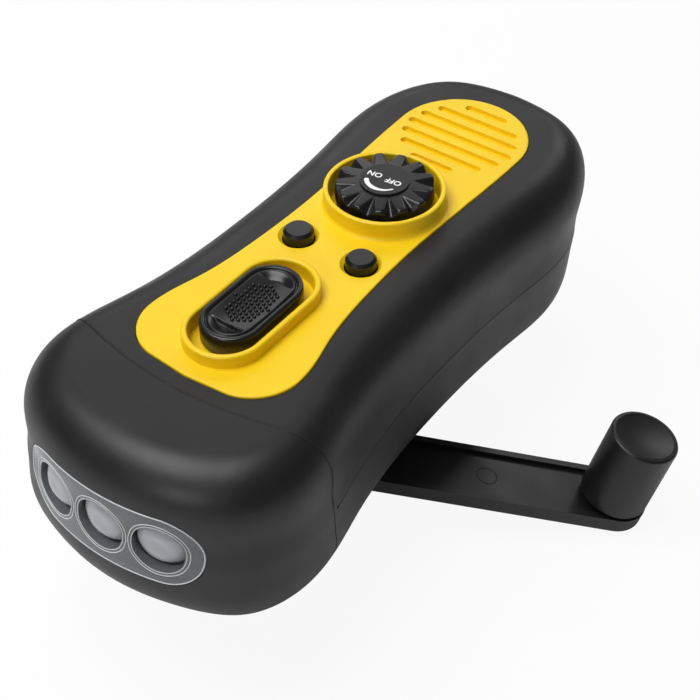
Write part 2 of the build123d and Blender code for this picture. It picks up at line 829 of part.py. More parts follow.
with BuildPart() as crank_hub:
    with BuildSketch(hub_plane.offset(hub_disc_bottom)):
        Circle(hub_radius)
    extrude(amount=hub_top - hub_disc_bottom)
    for side in (-1, 1):
        add(plan_slab(hub_plane, cheek_low, hub_disc_bottom, 2 * cheek_reach,
                      cheek_half - tongue_half - eye_gap,
                      centre_y=side * (cheek_half + tongue_half + eye_gap) / 2))
    fillet(crank_hub.faces().sort_by(Axis.Z)[0].edges() + crank_hub.faces().sort_by(Axis.Z)[1].edges(), 0.6)
    with BuildSketch(hub_plane.offset(hub_disc_bottom)):
        Circle(shaft_radius)
    extrude(amount=shaft_top - hub_disc_bottom)
    add(cross_rod(hinge_pin_radius, hub_radius), mode=Mode.SUBTRACT)
    with BuildSketch(hub_plane.offset(clip_z)):
        Circle(shaft_radius + 1.0)
        Circle(shaft_radius - clip_groove, mode=Mode.SUBTRACT)
    extrude(amount=clip_thickness, mode=Mode.SUBTRACT)

with BuildPart() as hinge_pin:
    add(cross_rod(hinge_pin_radius, cheek_half))

with BuildPart() as shaft_clip:
    with BuildSketch(hub_plane.offset(clip_z)):
        Circle(shaft_radius + clip_grip)
        Circle(shaft_radius - clip_groove, mode=Mode.SUBTRACT)
        with Locations((shaft_radius + clip_grip, 0)):
            Rectangle(2 * clip_grip, shaft_radius, mode=Mode.SUBTRACT)
    extrude(amount=clip_thickness)


def arm_outline(inset, height):
    """Outline of the arm's full-width part: soft square shoulder, round handle end."""
    with BuildSketch(arm_plane.offset(height)) as outline:
        with Locations((arm_shoulder + arm_corner + inset, arm_half - arm_corner - inset),
                       (arm_shoulder + arm_corner + inset, arm_corner + inset - arm_half)):
            Circle(arm_corner)
        with Locations((arm_length, 0)):
            Circle(arm_half - inset)
        make_hull()
    return outline.sketch


with BuildPart() as crank_arm:
    extrude(arm_outline(0.0, -arm_bottom), amount=arm_bottom + arm_top)
    fillet(crank_arm.faces().sort_by(Axis(hinge_point, arm_up))[0].edges(), arm_edge)
    extrude(arm_outline(arm_rib_width, arm_top - arm_channel_depth), amount=arm_channel_depth,
            mode=Mode.SUBTRACT)
    add(plan_slab(arm_plane, -arm_bottom, arm_top, arm_shoulder + arm_corner + tongue_heel,
                  2 * tongue_half, centre_x=(arm_shoulder + arm_corner - tongue_heel) / 2))
    fillet(crank_arm.faces().sort_by(Axis(hinge_point, arm_out))[0].edges().filter_by(
        GeomType.LINE).sort_by(Axis(hinge_point, arm_up))[:1], arm_bottom * 0.7)
    with BuildSketch(arm_plane.offset(-arm_bottom)):
        with Locations((arm_length, 0)):
            Circle(post_radius)
    extrude(amount=arm_bottom + arm_top, mode=Mode.SUBTRACT)
    add(cross_rod(hinge_pin_radius + run_gap, cheek_half), mode=Mode.SUBTRACT)

with BuildPart() as handle_post:
    with BuildSketch(handle_plane.offset(-arm_top - arm_bottom)):
        Circle(post_radius)
    extrude(amount=arm_top + arm_bottom + post_top)
    with BuildSketch(handle_plane.offset(post_top)):
        Circle(post_head_radius)
    extrude(amount=post_head)
    fillet(handle_post.edges().group_by(Axis(handle_plane.origin, arm_up))[-1], post_head * 0.3)

with BuildPart() as handle_sleeve:
    with BuildSketch(handle_plane.offset(handle_gap)):
        Circle(handle_radius)
        Circle(post_radius + run_gap, mode=Mode.SUBTRACT)
    extrude(amount=handle_length)
    with BuildSketch(handle_plane.offset(post_top - handle_gap)):
        Circle(post_head_radius + slide_gap)
    extrude(amount=handle_length, mode=Mode.SUBTRACT)
    with BuildSketch(handle_plane.offset(handle_gap + handle_length - handle_cap_depth)):
        Circle(handle_cap_radius)
    extrude(amount=handle_cap_depth, mode=Mode.SUBTRACT)
    fillet(handle_sleeve.edges().filter_by(GeomType.CIRCLE).sort_by(SortBy.RADIUS)[-2:], handle_edge)

cap_high = handle_gap + handle_length
cap_low = cap_high - handle_cap_depth

with BuildPart() as handle_cap:
    with BuildSketch(Plane(origin=handle_plane.origin, x_dir=arm_out, z_dir=handle_plane.y_dir * -1)):
        with BuildLine():
            Polyline((0, cap_high - handle_dish), (0, cap_low), (handle_cap_radius, cap_low),
                     (handle_cap_radius, cap_high))
            TangentArc((0, cap_high - handle_dish), (handle_cap_radius, cap_high), tangent=(1, 0))
        make_face()
    revolve(axis=Axis(handle_plane.origin, handle_plane.z_dir))


# ================================================================ gear train
def involute_angle(base_radius, radius):
    """Angle that the involute of a base circle has turned through at a radius, in radians."""
    grip = math.acos(base_radius / radius)
    return math.tan(grip) - grip


def tooth_points(module, teeth, index):
    """Outline points of one gear tooth: root, pitch circle and tip of both flanks."""
    pitch = module * teeth / 2
    base = pitch * math.cos(math.radians(pressure_angle))
    centre = 2 * math.pi * index / teeth
    half_at_base = math.pi / (2 * teeth) - backlash / (2 * pitch) + involute_angle(base, pitch)
    root_angle = half_at_base - root_relief / pitch
    flank = [(pitch - tooth_root * module, root_angle)]
    for radius in (pitch, pitch + tooth_tip * module):
        flank.append((radius, half_at_base - involute_angle(base, radius)))
    rising = [(radius, centre - half) for radius, half in flank]
    falling = [(radius, centre + half) for radius, half in reversed(flank)]
    return [(radius * math.cos(angle), radius * math.sin(angle)) for radius, angle in rising + falling]


def gear_outline(module, teeth, axis_xy, height, turn):
    """Spur gear outline in plan, with one tooth pointing along the turn angle."""
    points = []
    for index in range(teeth):
        points += tooth_points(module, teeth, index)
    with BuildSketch(Plane(origin=(axis_xy[0], axis_xy[1], height),
                           x_dir=(math.cos(math.radians(turn)), math.sin(math.radians(turn)), 0),
                           z_dir=(0, 0, 1))) as outline:
        with BuildLine():
            Polyline(*points, close=True)
        make_face()
    return outline.sketch


def disc(axis_xy, radius, low, high, bore=0.0):
    """Upright round disc, with or without a bore."""
    with BuildPart() as piece:
        with BuildSketch(Plane.XY.offset(low)):
            with Locations(axis_xy):
                Circle(radius)
                if bore:
                    Circle(bore, mode=Mode.SUBTRACT)
        extrude(amount=high - low)
    return piece.part


def gap_turn(angle, teeth):
    """Turn that puts the middle of a tooth gap on a direction."""
    return angle + 180.0 / teeth


def web_openings(axis_xy, hub, rim, low, high):
    """Five round lightening holes in a gear's web."""
    with BuildPart() as openings:
        with BuildSketch(Plane.XY.offset(low)):
            with Locations(axis_xy):
                with PolarLocations((hub + rim) / 2, 5):
                    Circle((rim - hub) / 2 - 1.2)
        extrude(amount=high - low)
    return openings.part


gear_hub = shaft_radius + 2.0
bush_top = floor_z + 2 * bush_flange
base_top = plate_rest + gear_plate
cover_top = cover_z + gear_plate
level_1_top = level_1 + gear_width
drive_pitch = stage_1_module * drive_teeth / 2

with BuildPart() as drive_gear:
    extrude(gear_outline(stage_1_module, drive_teeth, hub_xy, level_1, stage_1_angle), amount=gear_width)
    add(disc(hub_xy, gear_hub, bush_top + slide_gap, level_1))
    add(disc(hub_xy, shaft_radius, bush_top, level_1_top), mode=Mode.SUBTRACT)
    add(web_openings(hub_xy, gear_hub, drive_pitch - 2 * stage_1_module, level_1, level_1_top),
        mode=Mode.SUBTRACT)


def idler(axis_xy, pinion_module, pinion_turn, pinion_z, wheel_module, wheel_teeth, wheel_turn, wheel_z):
    """Compound gear: a small pinion that is driven, under a large wheel that drives on."""
    wheel_top = wheel_z + thin_gear_width
    with BuildPart() as gear:
        extrude(gear_outline(pinion_module, pinion_teeth, axis_xy, pinion_z, pinion_turn),
                amount=wheel_z - pinion_z)
        extrude(gear_outline(wheel_module, wheel_teeth, axis_xy, wheel_z, wheel_turn), amount=thin_gear_width)
        add(disc(axis_xy, collar_radius, base_top + slide_gap, pinion_z))
        add(disc(axis_xy, collar_radius, wheel_top, cover_z - slide_gap))
        add(disc(axis_xy, axle_radius + run_gap, base_top, cover_z), mode=Mode.SUBTRACT)
        add(web_openings(axis_xy, pinion_module * pinion_teeth / 2 + pinion_module,
                         wheel_module * wheel_teeth / 2 - 2 * wheel_module, wheel_z, wheel_top),
            mode=Mode.SUBTRACT)
    return gear.part


with BuildPart() as idler_gear_1:
    add(idler(idler_1_xy, stage_1_module, gap_turn(stage_1_angle + 180, pinion_teeth), level_1,
              stage_2_module, wheel_1_teeth, stage_2_angle, level_2))

with BuildPart() as idler_gear_2:
    add(idler(idler_2_xy, stage_2_module, gap_turn(stage_2_angle + 180, pinion_teeth), level_2,
              stage_3_module, wheel_2_teeth, stage_3_angle, level_3))

stator_top = rotor_top + gear_step + coil_height + stator_wall

with BuildPart() as rotor_pinion:
    extrude(gear_outline(stage_3_module, pinion_teeth, rotor_xy, level_3,
                         gap_turn(stage_3_angle + 180, pinion_teeth)), amount=thin_gear_width)
    add(disc(rotor_xy, rotor_shaft_radius, plate_rest + slide_gap, stator_top))

with BuildPart() as dynamo_magnet:
    add(disc(rotor_xy, rotor_radius, rotor_z, rotor_top, bore=rotor_shaft_radius))

with BuildPart() as dynamo_coil:
    add(disc(rotor_xy, rotor_radius, rotor_top + gear_step, stator_top - stator_wall,
             bore=coil_bore))

with BuildPart() as dynamo_stator:
    add(disc(rotor_xy, rotor_radius + stator_gap + stator_wall, cover_top, stator_top))
    add(disc(rotor_xy, rotor_radius + stator_gap, cover_top, stator_top - stator_wall), mode=Mode.SUBTRACT)
    add(disc(rotor_xy, rotor_shaft_radius + run_gap, cover_top, stator_top), mode=Mode.SUBTRACT)
    with BuildSketch(Plane.XY.offset(cover_top)):
        with Locations(rotor_xy):
            with PolarLocations(rotor_radius + stator_gap, 8):
                Rectangle(4 * stator_wall, stator_slot)
    extrude(amount=rotor_height, mode=Mode.SUBTRACT)


def gear_plate_outline(height):
    """Outline of the plates that carry the gear axles: a hull round pillars and dynamo."""
    with BuildSketch(Plane.XY.offset(height)) as outline:
        with Locations(*pillar_places):
            Circle(pillar_radius + fit_gap)
        with Locations(rotor_xy):
            Circle(rotor_radius + stator_gap + stator_wall)
        make_hull()
    return outline.sketch


with BuildPart() as gear_base:
    extrude(gear_plate_outline(plate_rest), amount=gear_plate)
    for place in (idler_1_xy, idler_2_xy):
        add(disc(place, axle_radius, plate_rest, base_top), mode=Mode.SUBTRACT)
    for place in pillar_places:
        add(disc(place, gear_screw_radius, plate_rest, base_top), mode=Mode.SUBTRACT)
    add(disc(rotor_xy, rotor_shaft_radius + run_gap, plate_rest, base_top), mode=Mode.SUBTRACT)

with BuildPart() as gear_cover:
    extrude(gear_plate_outline(cover_z), amount=gear_plate)
    for place in (idler_1_xy, idler_2_xy):
        add(disc(place, axle_radius, cover_z, cover_top), mode=Mode.SUBTRACT)
    for place in pillar_places:
        add(disc(place, gear_screw_radius, cover_z, cover_top), mode=Mode.SUBTRACT)
    add(disc(rotor_xy, rotor_shaft_radius + run_gap, cover_z, cover_top), mode=Mode.SUBTRACT)

with BuildPart() as gear_pillars:
    for place in pillar_places:
        add(disc(place, pillar_radius, base_top, cover_z, bore=gear_screw_radius))

with BuildPart() as gear_axles:
    for place in (idler_1_xy, idler_2_xy):
        add(disc(place, axle_radius, plate_rest, cover_top))

with BuildPart() as gear_screws:
    for place in pillar_places:
        add(disc(place, gear_screw_radius, gear_screw_end, cover_top))
        add(disc(place, gear_screw_radius + gear_screw_head, cover_top, cover_top + gear_screw_head))

with BuildPart() as hub_bush:
    add(disc(hub_xy, shaft_radius + run_gap + bush_wall, belly_z, floor_z + bush_flange))
    add(disc(hub_xy, bush_flange_radius, floor_z + bush_flange, bush_top))
    add(disc(hub_xy, shaft_radius + run_gap, belly_z, bush_top), mode=Mode.SUBTRACT)


# ================================================================ board, speaker, supply
def board_block(centre_x, centre_y, size_x, size_y, height):
    """Small part that stands on the main board."""
    with BuildPart() as block:
        with BuildSketch(Plane.XY.offset(board_z + board_thickness)):
            with Locations((centre_x, centre_y)):
                Rectangle(size_x, size_y)
        extrude(amount=height)
    return block.part


with BuildPart() as main_board:
    with BuildSketch(Plane.XY.offset(board_z)):
        with Locations((0, (board_front_y + board_tail_y) / 2)):
            RectangleRounded(2 * board_half, board_tail_y - board_front_y, 2.0)
        with Locations(*board_posts):
            Circle(gear_screw_radius, mode=Mode.SUBTRACT)
    extrude(amount=board_thickness)

with BuildPart() as board_screws:
    for place in board_posts:
        add(disc(place, gear_screw_radius, board_z, board_top + 2 * board_post_radius))
        add(disc(place, gear_screw_radius + gear_screw_head, board_z - gear_screw_head, board_z))

with BuildPart() as slide_switch:
    add(board_block(0, switch_y, slider_width, slider_length, switch_stem_z - slide_gap - board_top))

with BuildPart() as tact_switches:
    for place in button_places:
        add(board_block(place[0], place[1], tact_size, tact_size, tact_height))
        add(disc(place, tact_size / 4, board_top + tact_height, button_foot - button_travel - fit_gap))

with BuildPart() as volume_pot:
    add(disc((0, dial_y), pot_radius, board_top, panel_bottom - 1.0))
    add(disc((0, dial_y), dial_shaft_radius + run_gap, dial_shaft_foot - slide_gap, panel_bottom),
        mode=Mode.SUBTRACT)

speaker_top = top_height - wall - fit_gap
cone_low = speaker_top - speaker_height + 0.8
cone_rim = speaker_radius - speaker_rim

with BuildPart() as speaker_frame:
    add(disc((0, slot_y), speaker_radius, speaker_top - speaker_height, speaker_top))
    add(disc((0, slot_y), speaker_radius - speaker_rim, speaker_top - speaker_height + 0.8, speaker_top),
        mode=Mode.SUBTRACT)

with BuildPart() as speaker_cone:
    with BuildSketch(Plane.XZ.offset(-slot_y)):
        with BuildLine():
            Polyline((0, cone_low + dust_cap), (0, cone_low), (coil_former, cone_low), (cone_rim, speaker_top - 0.9),
                     (cone_rim, speaker_top - 0.3), (cone_rim - 1.5, speaker_top - 0.3),
                     (coil_former, cone_low + 0.6))
            TangentArc((0, cone_low + dust_cap), (coil_former, cone_low + 0.6), tangent=(1, 0))
        make_face()
    revolve(axis=Axis((0, slot_y, 0), (0, 0, 1)))

with BuildPart() as speaker_magnet:
    add(disc((0, slot_y), magnet_radius, speaker_top - speaker_height - magnet_height,
             speaker_top - speaker_height))

cradle_z = floor_z + lip_wall + 2 * fit_gap
cradle_wall = 0.4
cell_z = cradle_z + cell_radius + 1.0

with BuildPart() as battery_cells:
    for index in range(cell_count):
        start = (index - cell_count / 2) * cell_height
        with BuildSketch(Plane.YZ.offset(start)):
            with Locations((cell_y, cell_z)):
                Circle(cell_radius)
        extrude(amount=cell_height)

cradle_half = cell_count * cell_height / 2 + lip_wall

with BuildPart() as battery_cradle:
    with BuildSketch(Plane.YZ.offset(-cradle_half)):
        with Locations((cell_y, (cradle_z + cell_z) / 2)):
            Rectangle(2 * (cell_radius + cradle_wall), cell_z - cradle_z)
    extrude(amount=2 * cradle_half)
    with BuildSketch(Plane.YZ.offset(lip_wall - cradle_half)):
        with Locations((cell_y, cell_z)):
            Circle(cell_radius)
    extrude(amount=2 * (cradle_half - lip_wall), mode=Mode.SUBTRACT)

with BuildPart() as ferrite_rod:
    with BuildSketch(Plane.YZ.offset(-ferrite_length / 2)):
        with Locations((ferrite_y, ferrite_z)):
            Circle(ferrite_radius)
    extrude(amount=ferrite_length)

with BuildPart() as antenna_coil:
    with BuildSketch(Plane.YZ.offset(-coil_length / 2)):
        with Locations((ferrite_y, ferrite_z)):
            Circle(ferrite_radius + coil_wall)
            Circle(ferrite_radius, mode=Mode.SUBTRACT)
    extrude(amount=coil_length)

with BuildPart() as housing_screws:
    for place in screw_places:
        add(disc(place, screw_radius, screw_seat, parting_height + 3 * wall))
        add(disc(place, screw_head_radius, screw_seat - 1.8, screw_seat))

pieces = {
    "upper_shell": upper_shell,
    "lower_shell": lower_shell,
    "front_cap": front_cap,
    "top_panel": top_panel,
    "reset_button": reset_button,
    "scan_button": scan_button,
    "light_switch": light_switch,
    "volume_dial": volume_dial,
    "dial_disc": dial_disc,
    "dial_shaft": dial_shaft,
    "lens_window": lens_window,
    "led_reflector": led_reflector,
    "leds": leds,
    "led_board": led_board,
    "crank_hub": crank_hub,
    "hinge_pin": hinge_pin,
    "shaft_clip": shaft_clip,
    "crank_arm": crank_arm,
    "handle_post": handle_post,
    "handle_sleeve": handle_sleeve,
    "handle_cap": handle_cap,
    "drive_gear": drive_gear,
    "idler_gear_1": idler_gear_1,
    "idler_gear_2": idler_gear_2,
    "rotor_pinion": rotor_pinion,
    "dynamo_magnet": dynamo_magnet,
    "dynamo_coil": dynamo_coil,
    "dynamo_stator": dynamo_stator,
    "gear_base": gear_base,
    "gear_cover": gear_cover,
    "gear_pillars": gear_pillars,
    "gear_axles": gear_axles,
    "gear_screws": gear_screws,
    "hub_bush": hub_bush,
    "main_board": main_board,
    "board_screws": board_screws,
    "slide_switch": slide_switch,
    "tact_switches": tact_switches,
    "volume_pot": volume_pot,
    "speaker_frame": speaker_frame,
    "speaker_cone": speaker_cone,
    "speaker_magnet": speaker_magnet,
    "battery_cells": battery_cells,
    "battery_cradle": battery_cradle,
    "ferrite_rod": ferrite_rod,
    "antenna_coil": antenna_coil,
    "housing_screws": housing_screws,
}

os.makedirs("parts", exist_ok=True)
for name, piece in pieces.items():
    piece.part.label = name
    export_step(piece.part, f"parts/{name}.step")
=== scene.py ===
"""Hand crank flashlight in its studio: moulded black housing, yellow panel, clear lamp window, folding crank.

Lengths in the shape functions are millimetres and become metres in one place, finished_piece().
"""

import math

import bmesh
import bpy
import numpy as np
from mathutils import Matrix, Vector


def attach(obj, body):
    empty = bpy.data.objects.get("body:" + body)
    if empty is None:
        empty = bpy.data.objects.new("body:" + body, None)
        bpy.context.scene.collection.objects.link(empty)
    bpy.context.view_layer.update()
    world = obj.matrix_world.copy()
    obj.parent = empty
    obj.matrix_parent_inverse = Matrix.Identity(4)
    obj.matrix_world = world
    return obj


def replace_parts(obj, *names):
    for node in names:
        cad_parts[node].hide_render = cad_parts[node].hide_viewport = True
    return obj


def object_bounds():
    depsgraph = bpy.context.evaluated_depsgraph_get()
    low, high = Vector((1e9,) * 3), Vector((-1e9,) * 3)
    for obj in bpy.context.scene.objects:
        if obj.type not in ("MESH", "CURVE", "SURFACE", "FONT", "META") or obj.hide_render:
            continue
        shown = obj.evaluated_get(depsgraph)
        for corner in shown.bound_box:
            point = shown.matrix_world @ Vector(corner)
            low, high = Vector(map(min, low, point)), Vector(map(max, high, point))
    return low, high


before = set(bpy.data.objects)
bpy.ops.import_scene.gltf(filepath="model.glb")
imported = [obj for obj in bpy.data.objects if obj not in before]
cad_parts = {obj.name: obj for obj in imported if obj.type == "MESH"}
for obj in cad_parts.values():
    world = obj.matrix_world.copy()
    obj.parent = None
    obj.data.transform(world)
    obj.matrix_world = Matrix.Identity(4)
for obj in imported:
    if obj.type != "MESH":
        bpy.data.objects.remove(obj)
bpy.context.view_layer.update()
MM = 0.001

# ---------------------------------------------------------------- places taken over from the part
PANEL_TOP = 37.6
DIAL_Y = 55.0
DIAL_TOP = PANEL_TOP + 5.8
DIAL_PHASE = 0.76             # turn of the lobes, as a share of their pitch
PRINT_LIFT = 0.02             # thickness of a printed layer
SEAM_Y = -10.9                # middle of the joint between lamp cap and shells
SEAM_RADIUS = 81.0            # the joint lies on an upright cylinder of this radius
PARTING_Z = 18.4              # joint between upper and lower shell
SWITCH_Y = 12.0
SWITCH_TOP = PANEL_TOP + 3.6


# ================================================================ colour and nodes
def linear(hex_colour):
    """Linear RGBA of an sRGB hex colour: each channel is raised by the sRGB curve."""
    channels = np.array([int(hex_colour[i:i + 2], 16) for i in (1, 3, 5)]) / 255.0
    raised = np.where(channels <= 0.04045, channels / 12.92, ((channels + 0.055) / 1.055) ** 2.4)
    return (*(float(value) for value in raised), 1.0)


def add_node(tree, kind, inputs=None, **settings):
    """Adds one node with its settings; an input is a plain value or a (node, output) pair to link."""
    node = tree.nodes.new(kind)
    for name, value in settings.items():
        setattr(node, name, value)
    for socket, value in (inputs or {}).items():
        if isinstance(value, tuple) and isinstance(value[0], bpy.types.Node):
            tree.links.new(value[0].outputs[value[1]], node.inputs[socket])
        else:
            node.inputs[socket].default_value = value
    return node


def new_material(name, constants):
    """Empty material with one Principled shader whose fixed values stand on its own sockets."""
    material = bpy.data.materials.new(name)
    material.use_nodes = True
    tree = material.node_tree
    tree.nodes.clear()
    shader = add_node(tree, "ShaderNodeBsdfPrincipled", constants)
    add_node(tree, "ShaderNodeOutputMaterial", {"Surface": (shader, "BSDF")})
    place = add_node(tree, "ShaderNodeTexCoord")
    return material, tree, shader, place


def moulded(name, hex_low, hex_high, gloss_low, gloss_high, grain_mm, relief_mm, constants=None):
    """Injection-moulded plastic.

    Colour drifts slowly between two shades over about 25 mm, the roughness drifts over 8 mm, and a
    fine spark-eroded grain lifts the surface by the relief.
    """
    values = {"IOR": 1.49}
    values.update(constants or {})
    material, tree, shader, place = new_material(name, values)
    drift = add_node(tree, "ShaderNodeTexNoise",
                     {"Vector": (place, "Object"), "Scale": 1 / (25 * MM), "Detail": 3.0})
    shade = add_node(tree, "ShaderNodeMapRange", {"Value": (drift, "Fac"), "From Min": 0.35, "From Max": 0.65})
    colour = add_node(tree, "ShaderNodeMix",
                      {0: (shade, "Result"), 6: linear(hex_low), 7: linear(hex_high)}, data_type="RGBA")
    tree.links.new(colour.outputs[2], shader.inputs["Base Color"])
    patches = add_node(tree, "ShaderNodeTexNoise",
                       {"Vector": (place, "Object"), "Scale": 1 / (8 * MM), "Detail": 4.0})
    rough = add_node(tree, "ShaderNodeMapRange", {"Value": (patches, "Fac"), "From Min": 0.3, "From Max": 0.7,
                                                  "To Min": gloss_low, "To Max": gloss_high})
    tree.links.new(rough.outputs["Result"], shader.inputs["Roughness"])
    grain = add_node(tree, "ShaderNodeTexNoise",
                     {"Vector": (place, "Object"), "Scale": 1 / (grain_mm * MM), "Detail": 2.0, "Roughness": 0.55})
    bump = add_node(tree, "ShaderNodeBump",
                    {"Height": (grain, "Fac"), "Strength": 1.0, "Distance": relief_mm * MM})
    tree.links.new(bump.outputs["Normal"], shader.inputs["Normal"])
    return material


def worked_metal(name, hex_low, hex_high, gloss_low, gloss_high, line_mm):
    """Turned or drawn metal: fine scratches of the given spacing vary colour and roughness."""
    material, tree, shader, place = new_material(name, {"Metallic": 1.0})
    lines = add_node(tree, "ShaderNodeTexNoise",
                     {"Vector": (place, "Object"), "Scale": 1 / (line_mm * MM), "Detail": 3.0})
    colour = add_node(tree, "ShaderNodeMix", {0: (lines, "Fac"), 6: linear(hex_low), 7: linear(hex_high)},
                      data_type="RGBA")
    tree.links.new(colour.outputs[2], shader.inputs["Base Color"])
    rough = add_node(tree, "ShaderNodeMapRange", {"Value": (lines, "Fac"), "From Min": 0.3, "From Max": 0.7,
                                                  "To Min": gloss_low, "To Max": gloss_high})
    tree.links.new(rough.outputs["Result"], shader.inputs["Roughness"])
    return material


# Housing: acrylonitrile-butadiene-styrene, spark-eroded mould. Soft sheen with a grain of about 0.3 mm.
housing_abs = moulded("moulded_abs_black_grained", "#101011", "#161617", 0.40, 0.48, 0.30, 0.012)
# Crank arm and handle: the same plastic from a smoother mould, a little darker.
crank_abs = moulded("moulded_abs_black_satin", "#0e0e0f", "#131314", 0.34, 0.42, 0.35, 0.008)
# Controls: polished mould, so that they show crisp highlights.
control_abs = moulded("moulded_abs_black_polished", "#0d0d0e", "#121213", 0.24, 0.32, 0.40, 0.004)
# Panel: opaque yellow plastic, evenly satin with a trace of flow shading.
panel_abs = moulded("moulded_abs_yellow", "#f6cd08", "#fad414", 0.36, 0.44, 0.30, 0.005)
# Print on the dial: opaque white pad-printing ink.
print_white = moulded("pad_printed_ink_white", "#f2f2f2", "#fafafa", 0.45, 0.55, 0.20, 0.001)
# Gears: bare white acetal. Board: green solder mask over laminate. Cells: green shrink sleeve.
gear_acetal = moulded("moulded_acetal_white", "#dcdad0", "#e8e6dc", 0.30, 0.40, 0.50, 0.004)
circuit_laminate = moulded("solder_masked_laminate_green", "#17502f", "#1f6238", 0.22, 0.34, 0.60, 0.010)
cell_sleeve = moulded("shrink_sleeve_green", "#2c7a4a", "#358a55", 0.25, 0.35, 0.80, 0.006)
# Speaker cone: pressed dark pulp, matte. Magnets and aerial rod: grey sintered ferrite.
cone_pulp = moulded("pressed_paper_cone", "#1e1c1a", "#2a2724", 0.80, 0.92, 0.35, 0.030)
magnet_sinter = moulded("sintered_ferrite", "#34343a", "#43434a", 0.55, 0.68, 0.25, 0.012)
# Metals: fine lines of the tool or of the winding vary shade and sheen.
steel_turned = worked_metal("turned_steel", "#8e8f92", "#a9aaad", 0.26, 0.38, 0.25)
steel_stamped = worked_metal("stamped_steel", "#84868a", "#9fa1a5", 0.34, 0.48, 0.60)
brass_turned = worked_metal("turned_brass", "#a98c4a", "#c2a55e", 0.26, 0.36, 0.25)
copper_wound = worked_metal("enamelled_copper_winding", "#8f4a24", "#b9683a", 0.28, 0.42, 0.18)
chrome_plated = worked_metal("vacuum_plated_reflector", "#b9babd", "#cfd0d3", 0.22, 0.30, 1.50)


def clear_moulding(name, hex_colour, gloss, ripple_mm, clearness):
    """Polished clear plastic with faint flow ripples of the given spacing.

    Lamps shine through it, so that what lies behind is lit and not in full shadow.
    """
    material, tree, shader, place = new_material(name, {
        "Base Color": linear(hex_colour), "IOR": 1.49, "Transmission Weight": clearness})
    ripple = add_node(tree, "ShaderNodeTexNoise",
                      {"Vector": (place, "Object"), "Scale": 1 / (ripple_mm * MM), "Detail": 1.0})
    rough = add_node(tree, "ShaderNodeMapRange",
                     {"Value": (ripple, "Fac"), "To Min": gloss, "To Max": gloss + 0.04})
    tree.links.new(rough.outputs["Result"], shader.inputs["Roughness"])
    bump = add_node(tree, "ShaderNodeBump", {"Height": (ripple, "Fac"), "Distance": 0.00002})
    tree.links.new(bump.outputs["Normal"], shader.inputs["Normal"])
    through = add_node(tree, "ShaderNodeBsdfTransparent", {"Color": linear("#e6e9ea")})
    rays = add_node(tree, "ShaderNodeLightPath")
    mixed = add_node(tree, "ShaderNodeMixShader",
                     {0: (rays, "Is Shadow Ray"), 1: (shader, "BSDF"), 2: (through, "BSDF")})
    output = next(node for node in tree.nodes if node.type == "OUTPUT_MATERIAL")
    tree.links.new(mixed.outputs["Shader"], output.inputs["Surface"])
    return material


# Window: clear polystyrene, polished mould. Painted reflection: its grey base colour stands in for the plated
# reflector and inner reflections seen in it, with what lies behind showing through.
lens_clear_painted_reflection = clear_moulding("clear_polystyrene_painted_reflection", "#83868a", 0.02, 4.0, 0.55)
# Domed ends of the lamp tubes: the same resin. Painted light: the paler base colour stands in for the lit
# reflector bowls seen through them.
lens_dome_painted_light = clear_moulding("clear_polystyrene_dome_painted_light", "#c9ccd0", 0.06, 3.0, 0.50)
# Polished edges of the window and rims of the tubes. Painted highlight: the near-white base colour makes them read
# as thin bright lines.
lens_edge_painted_highlight = clear_moulding("clear_polystyrene_bevel_painted_highlight", "#eef0f1", 0.04, 2.0, 0.35)
# Painted shade: near-black plastic, nearly without sheen, laid in gaps, joint lines and tube bores for their
# shadow.
painted_shade_black = moulded("moulded_abs_black_painted_shade", "#050505", "#080808", 0.55, 0.65, 0.40, 0.002)
# Lamps: clear cast epoxy with a warm trace.
led_epoxy = clear_moulding("clear_epoxy_cast", "#fbfcf2", 0.03, 2.0, 1.0)

node_finish = {
    "upper_shell": housing_abs, "lower_shell": housing_abs, "front_cap": housing_abs, "top_panel": panel_abs,
    "reset_button": control_abs, "scan_button": control_abs, "light_switch": control_abs,
    "volume_dial": control_abs, "dial_disc": housing_abs, "dial_shaft": steel_turned,
    "lens_window": lens_clear_painted_reflection, "led_reflector": chrome_plated, "leds": led_epoxy, "led_board": circuit_laminate,
    "crank_hub": crank_abs, "hinge_pin": steel_turned, "shaft_clip": steel_stamped, "crank_arm": crank_abs,
    "handle_post": steel_turned, "handle_sleeve": crank_abs, "handle_cap": crank_abs,
    "drive_gear": gear_acetal, "idler_gear_1": gear_acetal, "idler_gear_2": gear_acetal,
    "rotor_pinion": steel_turned, "dynamo_magnet": magnet_sinter, "dynamo_coil": copper_wound,
    "dynamo_stator": steel_stamped, "gear_base": steel_stamped, "gear_cover": steel_stamped,
    "gear_pillars": brass_turned, "gear_axles": steel_turned, "gear_screws": steel_turned,
    "hub_bush": brass_turned, "main_board": circuit_laminate, "board_screws": steel_turned,
    "slide_switch": control_abs, "tact_switches": control_abs, "volume_pot": control_abs,
    "speaker_frame": steel_stamped, "speaker_cone": cone_pulp, "speaker_magnet": magnet_sinter,
    "battery_cells": cell_sleeve, "battery_cradle": control_abs, "ferrite_rod": magnet_sinter,
    "antenna_coil": copper_wound, "housing_screws": steel_turned,
}
for node_name, finish in node_finish.items():
    node_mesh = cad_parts[node_name].data
    node_mesh.materials.clear()
    node_mesh.materials.append(finish)


